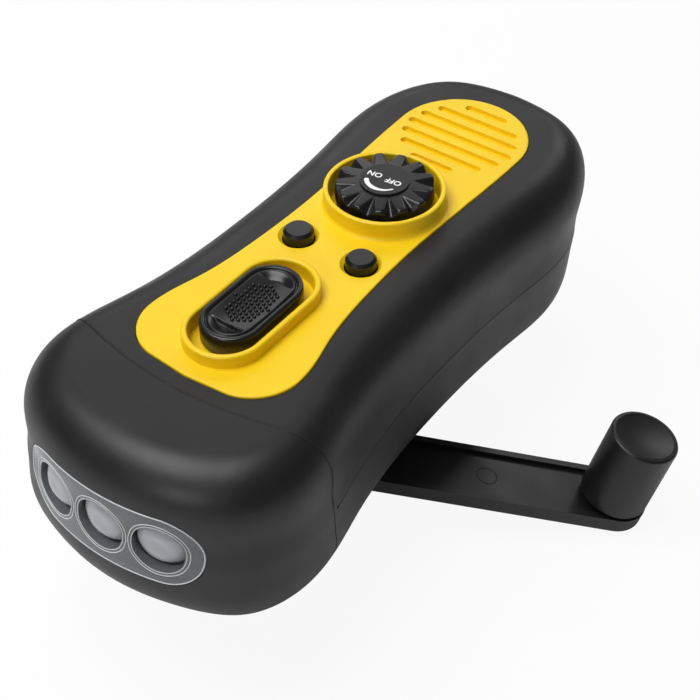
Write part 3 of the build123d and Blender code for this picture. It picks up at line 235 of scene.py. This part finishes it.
# ================================================================ meshes
def smooth_corners(node_name, crease_degrees=32.0):
    """Soft shading for a CAD node without touching its points.

    Every triangle corner takes the area-weighted mean of the face directions that meet at the same
    point and lie within the crease angle of its own face.
    """
    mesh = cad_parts[node_name].data
    count = len(mesh.polygons)
    corner_vertex = np.zeros(len(mesh.loops), np.int64)
    mesh.loops.foreach_get("vertex_index", corner_vertex)
    points = np.zeros(len(mesh.vertices) * 3)
    mesh.vertices.foreach_get("co", points)
    points = points.reshape(-1, 3)
    if len(mesh.loops) != 3 * count:
        return
    triangles = corner_vertex.reshape(-1, 3)
    cross = np.cross(points[triangles[:, 1]] - points[triangles[:, 0]],
                     points[triangles[:, 2]] - points[triangles[:, 0]])
    length = np.linalg.norm(cross, axis=1, keepdims=True)
    facing = cross / np.maximum(length, 1e-15)
    keys = np.round(points / 2e-6).astype(np.int64)
    _, place = np.unique(keys, axis=0, return_inverse=True)
    corner_place = place.reshape(-1)[triangles.reshape(-1)]
    corner_face = np.repeat(np.arange(count), 3)
    order = np.argsort(corner_place, kind="stable")
    starts = np.flatnonzero(np.r_[True, np.diff(corner_place[order]) > 0])
    sizes = np.diff(np.r_[starts, len(order)])
    limit = math.cos(math.radians(crease_degrees))
    result = np.zeros((len(order), 3))
    for size in np.unique(sizes):
        rows = starts[sizes == size][:, None] + np.arange(size)[None, :]
        corners = order[rows]
        faces = corner_face[corners]
        near = np.einsum("gik,gjk->gij", facing[faces], facing[faces]) > limit
        mean = np.einsum("gij,gjk->gik", near.astype(float), cross[faces])
        mean /= np.maximum(np.linalg.norm(mean, axis=2, keepdims=True), 1e-15)
        result[corners.reshape(-1)] = mean.reshape(-1, 3)
    mesh.polygons.foreach_set("use_smooth", np.ones(count, bool))
    mesh.normals_split_custom_set(result.tolist())


for node_name in node_finish:
    smooth_corners(node_name)


def finished_piece(name, points, faces, body, material, smooth=True):
    """Mesh object from points in millimetres and faces, riding on a body, with its finish.

    All faces are turned so that a closed skin looks outwards.
    """
    mesh = bpy.data.meshes.new(name)
    mesh.from_pydata((np.asarray(points, float) * MM).tolist(), [], [list(map(int, face)) for face in faces])
    turned = bmesh.new()
    turned.from_mesh(mesh)
    bmesh.ops.recalc_face_normals(turned, faces=turned.faces)
    turned.to_mesh(mesh)
    turned.free()
    mesh.update()
    mesh.polygons.foreach_set("use_smooth", np.full(len(mesh.polygons), smooth))
    mesh.materials.append(material)
    piece = bpy.data.objects.new(name, mesh)
    bpy.context.scene.collection.objects.link(piece)
    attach(piece, body)
    return piece


def grid_faces(rows, columns, wrap):
    """Quads of a rows by columns grid of points; with wrap the last column joins the first."""
    row, column = np.meshgrid(np.arange(rows - 1), np.arange(columns if wrap else columns - 1), indexing="ij")
    following = (column + 1) % columns
    return np.stack([row * columns + column, row * columns + following,
                     (row + 1) * columns + following, (row + 1) * columns + column], axis=-1).reshape(-1, 4)


def smooth_step(value):
    """0 below 0, 1 above 1, and value squared times (3 - 2 value) between."""
    held = np.clip(value, 0.0, 1.0)
    return held * held * (3.0 - 2.0 * held)


def closed_rings(rings):
    """Points and faces of a skin laid over closed rings, each with the same number of points.

    The first and last ring are closed with a fan round their middle.
    """
    count, around = len(rings), rings[0].shape[0]
    points = np.concatenate(rings)
    faces = grid_faces(count, around, True).tolist()
    middles = np.stack([rings[0].mean(axis=0), rings[-1].mean(axis=0)])
    points = np.concatenate([points, middles])
    step = np.arange(around)
    following = (step + 1) % around
    last = (count - 1) * around
    faces += np.stack([np.full(around, len(points) - 2), following, step], axis=1).tolist()
    faces += np.stack([np.full(around, len(points) - 1), last + step, last + following], axis=1).tolist()
    return points, faces


def swept_bar(path, outward, across, section, closed):
    """Bar along a path: point = path + a outward + b across, for each (a, b) of the closed section.

    A closed path joins its last station to the first; an open one gets flat ends.
    """
    section = np.asarray(section, float)
    sideways = section[None, :, :1] * outward[:, None, :]
    lifted = section[None, :, 1:] * across[:, None, :]
    points = path[:, None, :] + sideways + lifted
    rows, columns = points.shape[:2]
    faces = grid_faces(rows, columns, True).tolist()
    step = np.arange(columns)
    following = (step + 1) % columns
    last = (rows - 1) * columns
    if closed:
        faces += np.stack([last + step, last + following, following, step], axis=1).tolist()
    else:
        faces += [list(step), list(last + step)]
    return points.reshape(-1, 3), faces


def round_section(radius, sides=10):
    """Section of a round bar."""
    turn = np.arange(sides) * 2 * math.pi / sides
    return np.stack([radius * np.cos(turn), radius * np.sin(turn)], axis=1)


def joined(parts):
    """Several (points, faces) skins as one."""
    points, faces, base = [], [], 0
    for part_points, part_faces in parts:
        points.append(np.asarray(part_points, float))
        faces += [[int(corner) + base for corner in face] for face in part_faces]
        base += len(part_points)
    return np.concatenate(points), faces


def skin_hit(node_name, start, direction):
    """First point in millimetres, and the normal there, where a ray from start meets the CAD node's skin."""
    found, place, normal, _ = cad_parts[node_name].ray_cast([value * MM for value in start], direction)
    return (np.array(place) / MM, np.array(normal)) if found else (None, None)


# ================================================================ dial
def dial_knob():
    """Lobed volume dial, as a skin over rings from the bottom, up the wall and over the top.

    Seen from above the wall lies at radius R - 0.3 w, and the top at 5.42 - 0.05 (r - 5.1) - 1.5 s w,
    where s grows from 0 near the disc to 1 at the wall and w is half a cosine wave from 0 on a lobe to 1
    in a flute. The flutes are narrow near the disc and widen outwards, and end above a round skirt.
    """
    lobes, per_lobe = 13, 26
    outer, waist, rounding = 10.1, 9.8, 0.45
    skirt_top, lobe_foot = PANEL_TOP + 2.55, PANEL_TOP + 2.75
    angle = np.arange(lobes * per_lobe) * 2 * math.pi / (lobes * per_lobe)
    away = np.abs((angle * lobes / (2 * math.pi) - DIAL_PHASE + 0.5) % 1.0 - 0.5) * 2
    wall = outer - 0.3 * (0.5 - 0.5 * np.cos(math.pi * np.clip((away - 0.18) / 0.82, 0.0, 1.0)))

    def top_height(radius):
        share = np.clip((radius - 5.8) / 4.2, 0.0, 1.0)
        land = 1.0 - 0.82 * share ** 0.6
        flute = 0.5 - 0.5 * np.cos(math.pi * np.clip((away - land) / (1.0 - land + 1e-6), 0.0, 1.0))
        return PANEL_TOP + 5.42 - 0.05 * (radius - 5.1) - 1.5 * share * flute

    def ring(radius, height):
        radius = radius * np.ones_like(angle)
        height = height * np.ones_like(angle)
        return np.stack([radius * np.cos(angle), DIAL_Y + radius * np.sin(angle), height], axis=1)

    rings = [ring(3.1, PANEL_TOP - 0.7), ring(waist - 0.2, PANEL_TOP - 0.7), ring(waist, PANEL_TOP - 0.5),
             ring(waist, PANEL_TOP + 1.5), ring(outer, PANEL_TOP + 1.8), ring(outer, skirt_top),
             ring(0.5 * wall + 5.0, skirt_top + 0.15)]
    edge = top_height(wall)
    for share in (0.1, 0.4, 0.7):
        rings.append(ring(wall, lobe_foot + share * (edge - rounding - lobe_foot)))
    for turn in (0.0, 30.0, 60.0, 90.0):
        reach = wall - rounding * (1 - math.cos(math.radians(turn)))
        rings.append(ring(reach, edge - rounding * (1 - math.sin(math.radians(turn)))))
    for share in np.linspace(0.06, 1.0, 16):
        radius = (wall - rounding) + share * (5.0 - wall + rounding)
        rings.append(ring(radius, top_height(radius)))
    points, faces = closed_rings(rings)
    return finished_piece("dial_knob", points, faces, "dial", control_abs)


def print_crescent():
    """White arc on the dial's disc: middle radius 3.7, half width 0.47 that shrinks to 0.18 at its tip."""
    sweep = np.radians(np.linspace(-150.0, -29.0, 49))
    share = np.linspace(0.0, 1.0, 49)
    half = 0.47 - 0.29 * smooth_step((share - 0.35) / 0.65)
    half *= np.sqrt(np.clip(share / 0.05, 0.0, 1.0) * (2 - np.clip(share / 0.05, 0.0, 1.0))) * 0.6 + 0.4
    rows = []
    for side in (-1.0, -0.33, 0.33, 1.0):
        radius = 3.7 + side * half
        rows.append(np.stack([radius * np.cos(sweep), DIAL_Y + radius * np.sin(sweep),
                              np.full_like(sweep, DIAL_TOP + PRINT_LIFT)], axis=1))
    faces = grid_faces(len(rows), len(sweep), False)[:, ::-1]
    finished_piece("dial_print_crescent", np.concatenate(rows), faces, "dial", print_white,
                   smooth=False)


def print_word(word, centre, turn, height):
    """One word in white print on the dial's disc, read from the tail end: outline font, flattened to a mesh."""
    curve = bpy.data.curves.new("word_" + word, "FONT")
    curve.body = word
    curve.align_x = "CENTER"
    curve.align_y = "CENTER"
    curve.offset = 0.022
    curve.resolution_u = 4
    holder = bpy.data.objects.new("word_" + word, curve)
    bpy.context.scene.collection.objects.link(holder)
    bpy.context.view_layer.update()
    flat = holder.evaluated_get(bpy.context.evaluated_depsgraph_get()).to_mesh()
    points = np.zeros(len(flat.vertices) * 3)
    flat.vertices.foreach_get("co", points)
    points = points.reshape(-1, 3)
    faces = [list(polygon.vertices) for polygon in flat.polygons]
    bpy.data.objects.remove(holder, do_unlink=True)
    scale = height / (points[:, 1].max() - points[:, 1].min())
    shift = (points.max(axis=0) + points.min(axis=0)) / 2
    across, along = ((points - shift)[:, :2] * scale).T
    angle = math.radians(180.0 + turn)
    placed = np.stack([centre[0] + across * math.cos(angle) - along * math.sin(angle),
                       centre[1] + across * math.sin(angle) + along * math.cos(angle),
                       np.full_like(across, DIAL_TOP + PRINT_LIFT)], axis=1)
    finished_piece("dial_print_" + word.lower(), placed, faces, "dial", print_white,
                   smooth=False)


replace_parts(dial_knob(), "volume_dial")
print_crescent()
print_word("ON", (-2.55, 55.20), 8.0, 1.5)
print_word("OFF", (1.95, 55.15), 5.0, 1.5)


# ================================================================ lamp switch
def stadium_rings(offsets_heights, straight_half, straight_steps, arc_steps):
    """Rings of a rounded slot round the switch: one per (radius, height) pair, all with the same directions."""
    along = np.linspace(-straight_half, straight_half, straight_steps, endpoint=False)
    turn = np.linspace(0.0, math.pi, arc_steps, endpoint=False)
    spine = np.concatenate([along, np.full(arc_steps, straight_half),
                            -along, np.full(arc_steps, -straight_half)])
    facing = np.concatenate([np.zeros(straight_steps), turn,
                             np.full(straight_steps, math.pi), turn + math.pi])
    rings = []
    for radius, height in offsets_heights:
        rings.append(np.stack([radius * np.cos(facing), SWITCH_Y + spine + radius * np.sin(facing),
                               height * np.ones_like(facing)], axis=1))
    return rings


def pad_height(x, y):
    """Top of the thumb pad: dished by 0.55 mm in the middle, with a crescent hollow at both ends.

    The hollow starts at a straight step 7.2 mm from the middle, 0.85 mm deep, and rises again outwards.
    """
    away = np.abs(y - SWITCH_Y)
    bowl = 0.55 * smooth_step(1.25 - np.hypot(x / 4.6, (y - SWITCH_Y) / 9.5))
    step = smooth_step((away - 7.15) / 0.22)
    arc = 4.5 - np.hypot(x, np.clip(away - 5.7, 0.0, None))
    hollow = 0.85 * step * smooth_step(arc / 2.2 + 0.05)
    return SWITCH_TOP - 0.12 - bowl - hollow


def switch_cap():
    """Thumb piece of the lamp switch: wall, rounded border, fine groove and dished pad in one skin."""
    low = PANEL_TOP - 0.5
    profile = [(0.3, low), (6.1, low), (6.2, low + 0.1), (6.2, SWITCH_TOP - 0.45), (6.1, SWITCH_TOP - 0.17),
               (5.9, SWITCH_TOP - 0.03), (5.6, SWITCH_TOP), (5.3, SWITCH_TOP - 0.03), (5.08, SWITCH_TOP - 0.14),
               (5.0, SWITCH_TOP - 0.5), (4.72, SWITCH_TOP - 0.5), (4.6, SWITCH_TOP - 0.22)]
    profile += [(radius, SWITCH_TOP) for radius in np.linspace(4.5, 0.001, 34)]
    rings = stadium_rings(profile, 5.7, 76, 60)
    for ring in rings[-34:]:
        ring[:, 2] = pad_height(ring[:, 0], ring[:, 1])
    points, faces = closed_rings(rings)
    return finished_piece("switch_cap", points, faces, "switch", control_abs)


def switch_pips():
    """Grip pips: small domes on a staggered grid of 1.15 mm inside an oval of 3.9 by 6.1 mm half axes."""
    centres = []
    for column in range(-4, 5):
        for row in range(-6, 7):
            x = column * 0.97
            y = (row + 0.5 * (column % 2)) * 1.15
            if (x / 3.9) ** 2 + (y / 6.1) ** 2 <= 1.0:
                centres.append((x, SWITCH_Y + y))
    centres = np.array(centres)
    turn = np.arange(8) * math.pi / 4
    points, faces = [], []
    for x, y in centres:
        base = len(points)
        floor = float(pad_height(np.array(x), np.array(y)))
        for radius, rise in ((0.42, -0.05), (0.39, 0.16), (0.28, 0.32)):
            points += np.stack([x + radius * np.cos(turn), y + radius * np.sin(turn),
                                np.full(8, floor + rise)], axis=1).tolist()
        points.append([x, y, floor + 0.38])
        faces += (grid_faces(3, 8, True) + base).tolist()
        faces += [[base + 16 + k, base + 16 + (k + 1) % 8, base + 24] for k in range(8)]
    finished_piece("switch_pips", points, faces, "switch", control_abs)


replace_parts(switch_cap(), "light_switch")
switch_pips()


# ================================================================ lamp window
WINDOW_Z = 20.2
WINDOW_HALF = 21.0            # half of its width
WINDOW_RADIUS = 8.35          # of its round ends, and half of its height
EDGE_INSET = 0.38
LAMP_PITCH = 12.4
LAMP_FAN = math.radians(14.5)


def window_edge():
    """Bevelled edge of the clear window: a thin bar that follows its rounded outline on the curved nose. Its
    near-white finish is a painted highlight.
    """
    straight, radius = WINDOW_HALF - WINDOW_RADIUS, WINDOW_RADIUS - EDGE_INSET
    along = np.linspace(-straight, straight, 40, endpoint=False)
    turn = np.linspace(-math.pi / 2, math.pi / 2, 30, endpoint=False)
    centre = np.concatenate([along, np.full(30, straight), -along, np.full(30, -straight)])
    facing = np.concatenate([np.full(40, -math.pi / 2), turn, np.full(40, math.pi / 2), turn + math.pi])
    outward = np.stack([np.cos(facing), np.zeros_like(facing), np.sin(facing)], axis=1)
    x = centre + radius * np.cos(facing)
    z = WINDOW_Z + radius * np.sin(facing)
    path = np.array([skin_hit("lens_window", (px, -80.0, pz), (0, 1, 0))[0] for px, pz in zip(x, z)])
    ahead = np.tile((0.0, -1.0, 0.0), (len(path), 1))
    points, faces = swept_bar(path, outward, ahead, round_section(0.13), True)
    finished_piece("window_edge", points, faces, "housing", lens_edge_painted_highlight)


def lamp_frame(index):
    """Origin, outward axis and sideways axis of one lamp; the outer lamps are set back and turned outwards."""
    turn = LAMP_FAN * index
    outward = np.array([math.sin(turn), -math.cos(turn), 0.0])
    sideways = np.array([math.cos(turn), math.sin(turn), 0.0])
    return np.array([LAMP_PITCH * index, -33.0 + 1.6 * abs(index), WINDOW_Z]), outward, sideways


def lamp_circle(index, radius, depth, steps=72):
    """Stations of a circle round a lamp's axis with their radial directions."""
    origin, outward, sideways = lamp_frame(index)
    turn = np.arange(steps) * 2 * math.pi / steps
    radial = np.cos(turn)[:, None] * sideways + np.sin(turn)[:, None] * np.array([0.0, 0.0, 1.0])
    return origin - outward * depth + radius * radial, radial, np.tile(outward, (steps, 1))


def lamp_rims():
    """Raised rims of the three lamp tubes, lying on the window's curved front. Their near-white finish is a
    painted highlight.
    """
    parts = []
    for index in (-1, 0, 1):
        for radius, thick in ((6.08, 0.11), (5.45, 0.09)):
            circle, radial, ahead = lamp_circle(index, radius, 0.0)
            path = [skin_hit("lens_window", (place[0], -80.0, place[2]), (0, 1, 0))[0] for place in circle]
            parts.append(swept_bar(np.array(path), radial, ahead, round_section(thick, 8), True))
    points, faces = joined(parts)
    finished_piece("lamp_rims", points, faces, "housing", lens_edge_painted_highlight)


def lamp_bore_shade():
    """Painted shade: dark bands round the domes, inside the three lamp tubes, for the shadow in the tubes."""
    band = [(0.0, -1.6), (0.0, -3.3), (-0.1, -3.3), (-0.1, -1.6)]
    parts = []
    for index in (-1, 0, 1):
        circle, radial, ahead = lamp_circle(index, 5.12, 0.0)
        parts.append(swept_bar(circle, radial, ahead, band, True))
    points, faces = joined(parts)
    finished_piece("lamp_bore_shade", points, faces, "housing", painted_shade_black)


def lamp_domes():
    """Lens at the end of each tube: part of a sphere, radius R = (r^2 + h^2) / 2 h, over a flat back. Its paler
    finish is painted light, for the lit bowls behind it.
    """
    reach, rise, back = 5.05, 2.3, 2.15
    ball = (reach ** 2 + rise ** 2) / (2 * rise)
    limit = math.asin(reach / ball)
    parts = []
    for index in (-1, 0, 1):
        rings = [lamp_circle(index, reach, back + 0.4)[0]]
        for polar in np.linspace(limit, 0.02, 22):
            depth = back - (ball * math.cos(polar) - (ball - rise))
            rings.append(lamp_circle(index, ball * math.sin(polar), depth)[0])
        parts.append(closed_rings(rings))
    points, faces = joined(parts)
    finished_piece("lamp_domes", points, faces, "housing", lens_dome_painted_light)


window_edge()
lamp_rims()
lamp_bore_shade()
lamp_domes()


# ================================================================ crank and housing trim
SWING, DROOP = math.radians(37.0), math.radians(15.0)
LEVEL_OUT = np.array([math.cos(SWING), math.sin(SWING), 0.0])
ARM_OUT = LEVEL_OUT * math.cos(DROOP) - np.array([0.0, 0.0, math.sin(DROOP)])
ARM_UP = LEVEL_OUT * math.sin(DROOP) + np.array([0.0, 0.0, math.cos(DROOP)])
ARM_SIDE = np.cross(ARM_UP, ARM_OUT)
HINGE = np.array([0.0, 19.5, -3.5])
ARM_LENGTH = 72.6             # hinge to handle
CHANNEL_RISE = 0.9            # floor of the arm's channel above the hinge
EJECTOR_ALONG = 44.3          # hinge to the ejector mark


def arm_circle(along, rise, radius, steps=72):
    """Circle in the arm's plane: stations, radial directions and the arm's upward direction."""
    turn = np.arange(steps) * 2 * math.pi / steps
    radial = np.cos(turn)[:, None] * ARM_OUT + np.sin(turn)[:, None] * ARM_SIDE
    return HINGE + ARM_OUT * along + ARM_UP * rise + radius * radial, radial, np.tile(ARM_UP, (steps, 1))


def handle_cap_gap_shade():
    """Painted shade: fine dark line round the handle's cap, for the shadow in the gap, laid where rays from above
    meet the handle.
    """
    above = 40.0
    circle, radial, upward = arm_circle(ARM_LENGTH, above, 6.45)
    path = []
    for place in circle:
        hits = [skin_hit(name, place, -ARM_UP)[0] for name in ("handle_sleeve", "handle_cap")]
        path.append(max((hit for hit in hits if hit is not None), key=lambda hit: hit @ ARM_UP))
    points, faces = swept_bar(np.array(path), radial, upward, round_section(0.12, 8), True)
    finished_piece("handle_cap_gap_shade", points, faces, "handle", painted_shade_black)


def ejector_mark():
    """Round mark of an ejector pin in the arm's channel: a ring 4.5 mm wide and 0.09 mm high."""
    circle, radial, upward = arm_circle(EJECTOR_ALONG, CHANNEL_RISE, 2.25)
    points, faces = swept_bar(circle, radial, upward, round_section(0.09, 8), True)
    finished_piece("ejector_mark", points, faces, "arm", crank_abs)


def seam_y(x):
    """Middle of the lamp cap joint at a place across the housing: SEAM_Y + R - sqrt(R^2 - x^2)."""
    return SEAM_Y + SEAM_RADIUS - math.sqrt(SEAM_RADIUS ** 2 - x ** 2)


def parting_line_shade():
    """Painted shade: dark line, for the shadow in the gap where the upper shell meets the lower shell, from the
    lamp cap joint round the tail and back.

    Each station is where a level ray towards the middle of the housing meets the upper shell.
    """
    height, middle = PARTING_Z + 0.06, np.array([0.0, 36.0])
    strip = [(0.03, -0.09), (0.03, 0.09), (-0.3, 0.09), (-0.3, -0.09)]
    stations = []
    for turn in np.radians(np.linspace(-68.0, 248.0, 317)):
        start = middle + 120.0 * np.array([math.cos(turn), math.sin(turn)])
        hit, _ = skin_hit("upper_shell", (start[0], start[1], height), (-math.cos(turn), -math.sin(turn), 0.0))
        if hit is not None and hit[1] > seam_y(hit[0]) + 0.4:
            stations.append((hit[0], hit[1], PARTING_Z))
    path = np.array(stations)
    ahead = np.gradient(path, axis=0)
    ahead /= np.linalg.norm(ahead, axis=1, keepdims=True)
    upward = np.tile((0.0, 0.0, 1.0), (len(path), 1))
    outward = np.cross(ahead, upward)
    points, faces = swept_bar(path, outward, upward, strip, False)
    finished_piece("parting_line_shade", points, faces, "housing", painted_shade_black)


def cap_joint_shade():
    """Painted shade: dark strip laid over the joint between the lamp cap and the shells, for the shadow in its
    gap.

    Each station is where a ray towards the middle of the housing, just ahead of the joint, meets the lamp cap.
    The joint bends with the place across the housing, so each ray is cast again from where the last one met.
    """
    ahead_of_joint = 0.35
    strip = [(0.05, -0.22), (0.05, 0.22), (-0.3, 0.22), (-0.3, -0.22)]
    path, outward = [], []
    for turn in np.radians(np.linspace(0.0, 360.0, 240, endpoint=False)):
        aim = np.array([math.cos(turn), 0.0, math.sin(turn)])
        x = 0.0
        for _ in range(4):
            start = 90.0 * aim + (0.0, seam_y(x) - ahead_of_joint, 18.0)
            hit, normal = skin_hit("front_cap", start, -aim)
            if hit is None:
                break
            x = hit[0]
        if hit is not None:
            path.append(hit + (0.0, ahead_of_joint, 0.0))
            outward.append(normal)
    outward = np.array(outward)
    ahead = np.tile((0.0, 1.0, 0.0), (len(path), 1))
    points, faces = swept_bar(np.array(path), outward, ahead, strip, True)
    finished_piece("cap_joint_shade", points, faces, "housing", painted_shade_black)


handle_cap_gap_shade()
ejector_mark()
parting_line_shade()
cap_joint_shade()


# ================================================================ studio
def stand_camera():
    """Camera at the photograph's angle."""
    camera_data = bpy.data.cameras.new("camera")
    camera_data.lens = 79.62
    camera_data.sensor_width = 36.0
    camera_data.clip_start = 0.01
    camera = bpy.data.objects.new("camera", camera_data)
    camera.location = (0.1422, -0.1528, 0.2297)
    camera.rotation_euler = (math.radians(47.19), 0.0, math.radians(35.98))
    bpy.context.scene.collection.objects.link(camera)
    bpy.context.scene.camera = camera


def lay_floor():
    """Pale floor at the lowest point of the flashlight."""
    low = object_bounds()[0][2]
    half = 3.0
    floor_mesh = bpy.data.meshes.new("floor")
    floor_mesh.from_pydata([(-half, -half, low), (half, -half, low), (half, half, low), (-half, half, low)],
                           [], [(0, 1, 2, 3)])
    floor_mesh.materials.append(floor_paper())
    floor = bpy.data.objects.new("floor", floor_mesh)
    bpy.context.scene.collection.objects.link(floor)


def hang_lamps():
    """Soft square panels of light: place, aim, size in metres and power in watts."""
    panels = (
        ("key_panel", (-0.20, -0.14, 0.85), (0.0, 0.03, 0.01), 0.60, 6.6),
        ("front_panel", (0.10, -0.85, 0.45), (0.0, 0.0, 0.01), 0.30, 1.6),
        ("back_panel", (-0.14, 0.95, 0.62), (0.0, 0.03, 0.01), 0.35, 1.2),
        ("rear_panel", (-0.62, 0.66, 0.52), (0.0, 0.03, 0.01), 0.50, 1.1),
    )
    for name, place, aim, size, power in panels:
        data = bpy.data.lights.new(name, "AREA")
        data.shape = "SQUARE"
        data.size = size
        data.energy = power
        lamp = bpy.data.objects.new(name, data)
        lamp.location = place
        direction = np.array(aim) - np.array(place)
        lamp.rotation_euler = (math.atan2(math.hypot(direction[0], direction[1]), -direction[2]), 0.0,
                               math.atan2(direction[1], direction[0]) - math.pi / 2)
        bpy.context.scene.collection.objects.link(lamp)


def light_air():
    """Even surroundings: faint on the object, full white where the camera looks past it or through glass."""
    world = bpy.data.worlds.new("studio_air")
    world.use_nodes = True
    tree = world.node_tree
    tree.nodes.clear()
    rays = add_node(tree, "ShaderNodeLightPath")
    seen = add_node(tree, "ShaderNodeMath", {0: (rays, "Is Camera Ray"), 1: (rays, "Is Transmission Ray")},
                    operation="MAXIMUM")
    strength = add_node(tree, "ShaderNodeMapRange", {"Value": (seen, "Value"), "To Min": 0.14, "To Max": 1.0})
    air = add_node(tree, "ShaderNodeBackground",
                   {"Color": (1.0, 1.0, 1.0, 1.0), "Strength": (strength, "Result")})
    add_node(tree, "ShaderNodeOutputWorld", {"Surface": (air, "Background")})
    bpy.context.scene.world = world


def floor_paper():
    """White paper sweep: matte, and seen directly it has the white of the photograph's background."""
    material = bpy.data.materials.new("matte_white_paper")
    material.use_nodes = True
    tree = material.node_tree
    tree.nodes.clear()
    place = add_node(tree, "ShaderNodeTexCoord")
    fibre = add_node(tree, "ShaderNodeTexNoise",
                     {"Vector": (place, "Object"), "Scale": 1 / (4 * MM), "Detail": 2.0})
    tint = add_node(tree, "ShaderNodeMix", {0: (fibre, "Fac"), 6: linear("#f0f0f0"), 7: linear("#f6f6f6")},
                    data_type="RGBA")
    paper = add_node(tree, "ShaderNodeBsdfDiffuse", {"Color": (tint, 2)})
    glow = add_node(tree, "ShaderNodeEmission", {"Color": (1.0, 1.0, 1.0, 1.0), "Strength": 1.0})
    rays = add_node(tree, "ShaderNodeLightPath")
    share = add_node(tree, "ShaderNodeMath", {0: (rays, "Is Camera Ray"), 1: 0.92}, operation="MULTIPLY")
    both = add_node(tree, "ShaderNodeMixShader",
                    {0: (share, "Value"), 1: (paper, "BSDF"), 2: (glow, "Emission")})
    add_node(tree, "ShaderNodeOutputMaterial", {"Surface": (both, "Shader")})
    return material


stand_camera()
lay_floor()
hang_lamps()
light_air()
bpy.context.scene.view_settings.view_transform = "Standard"
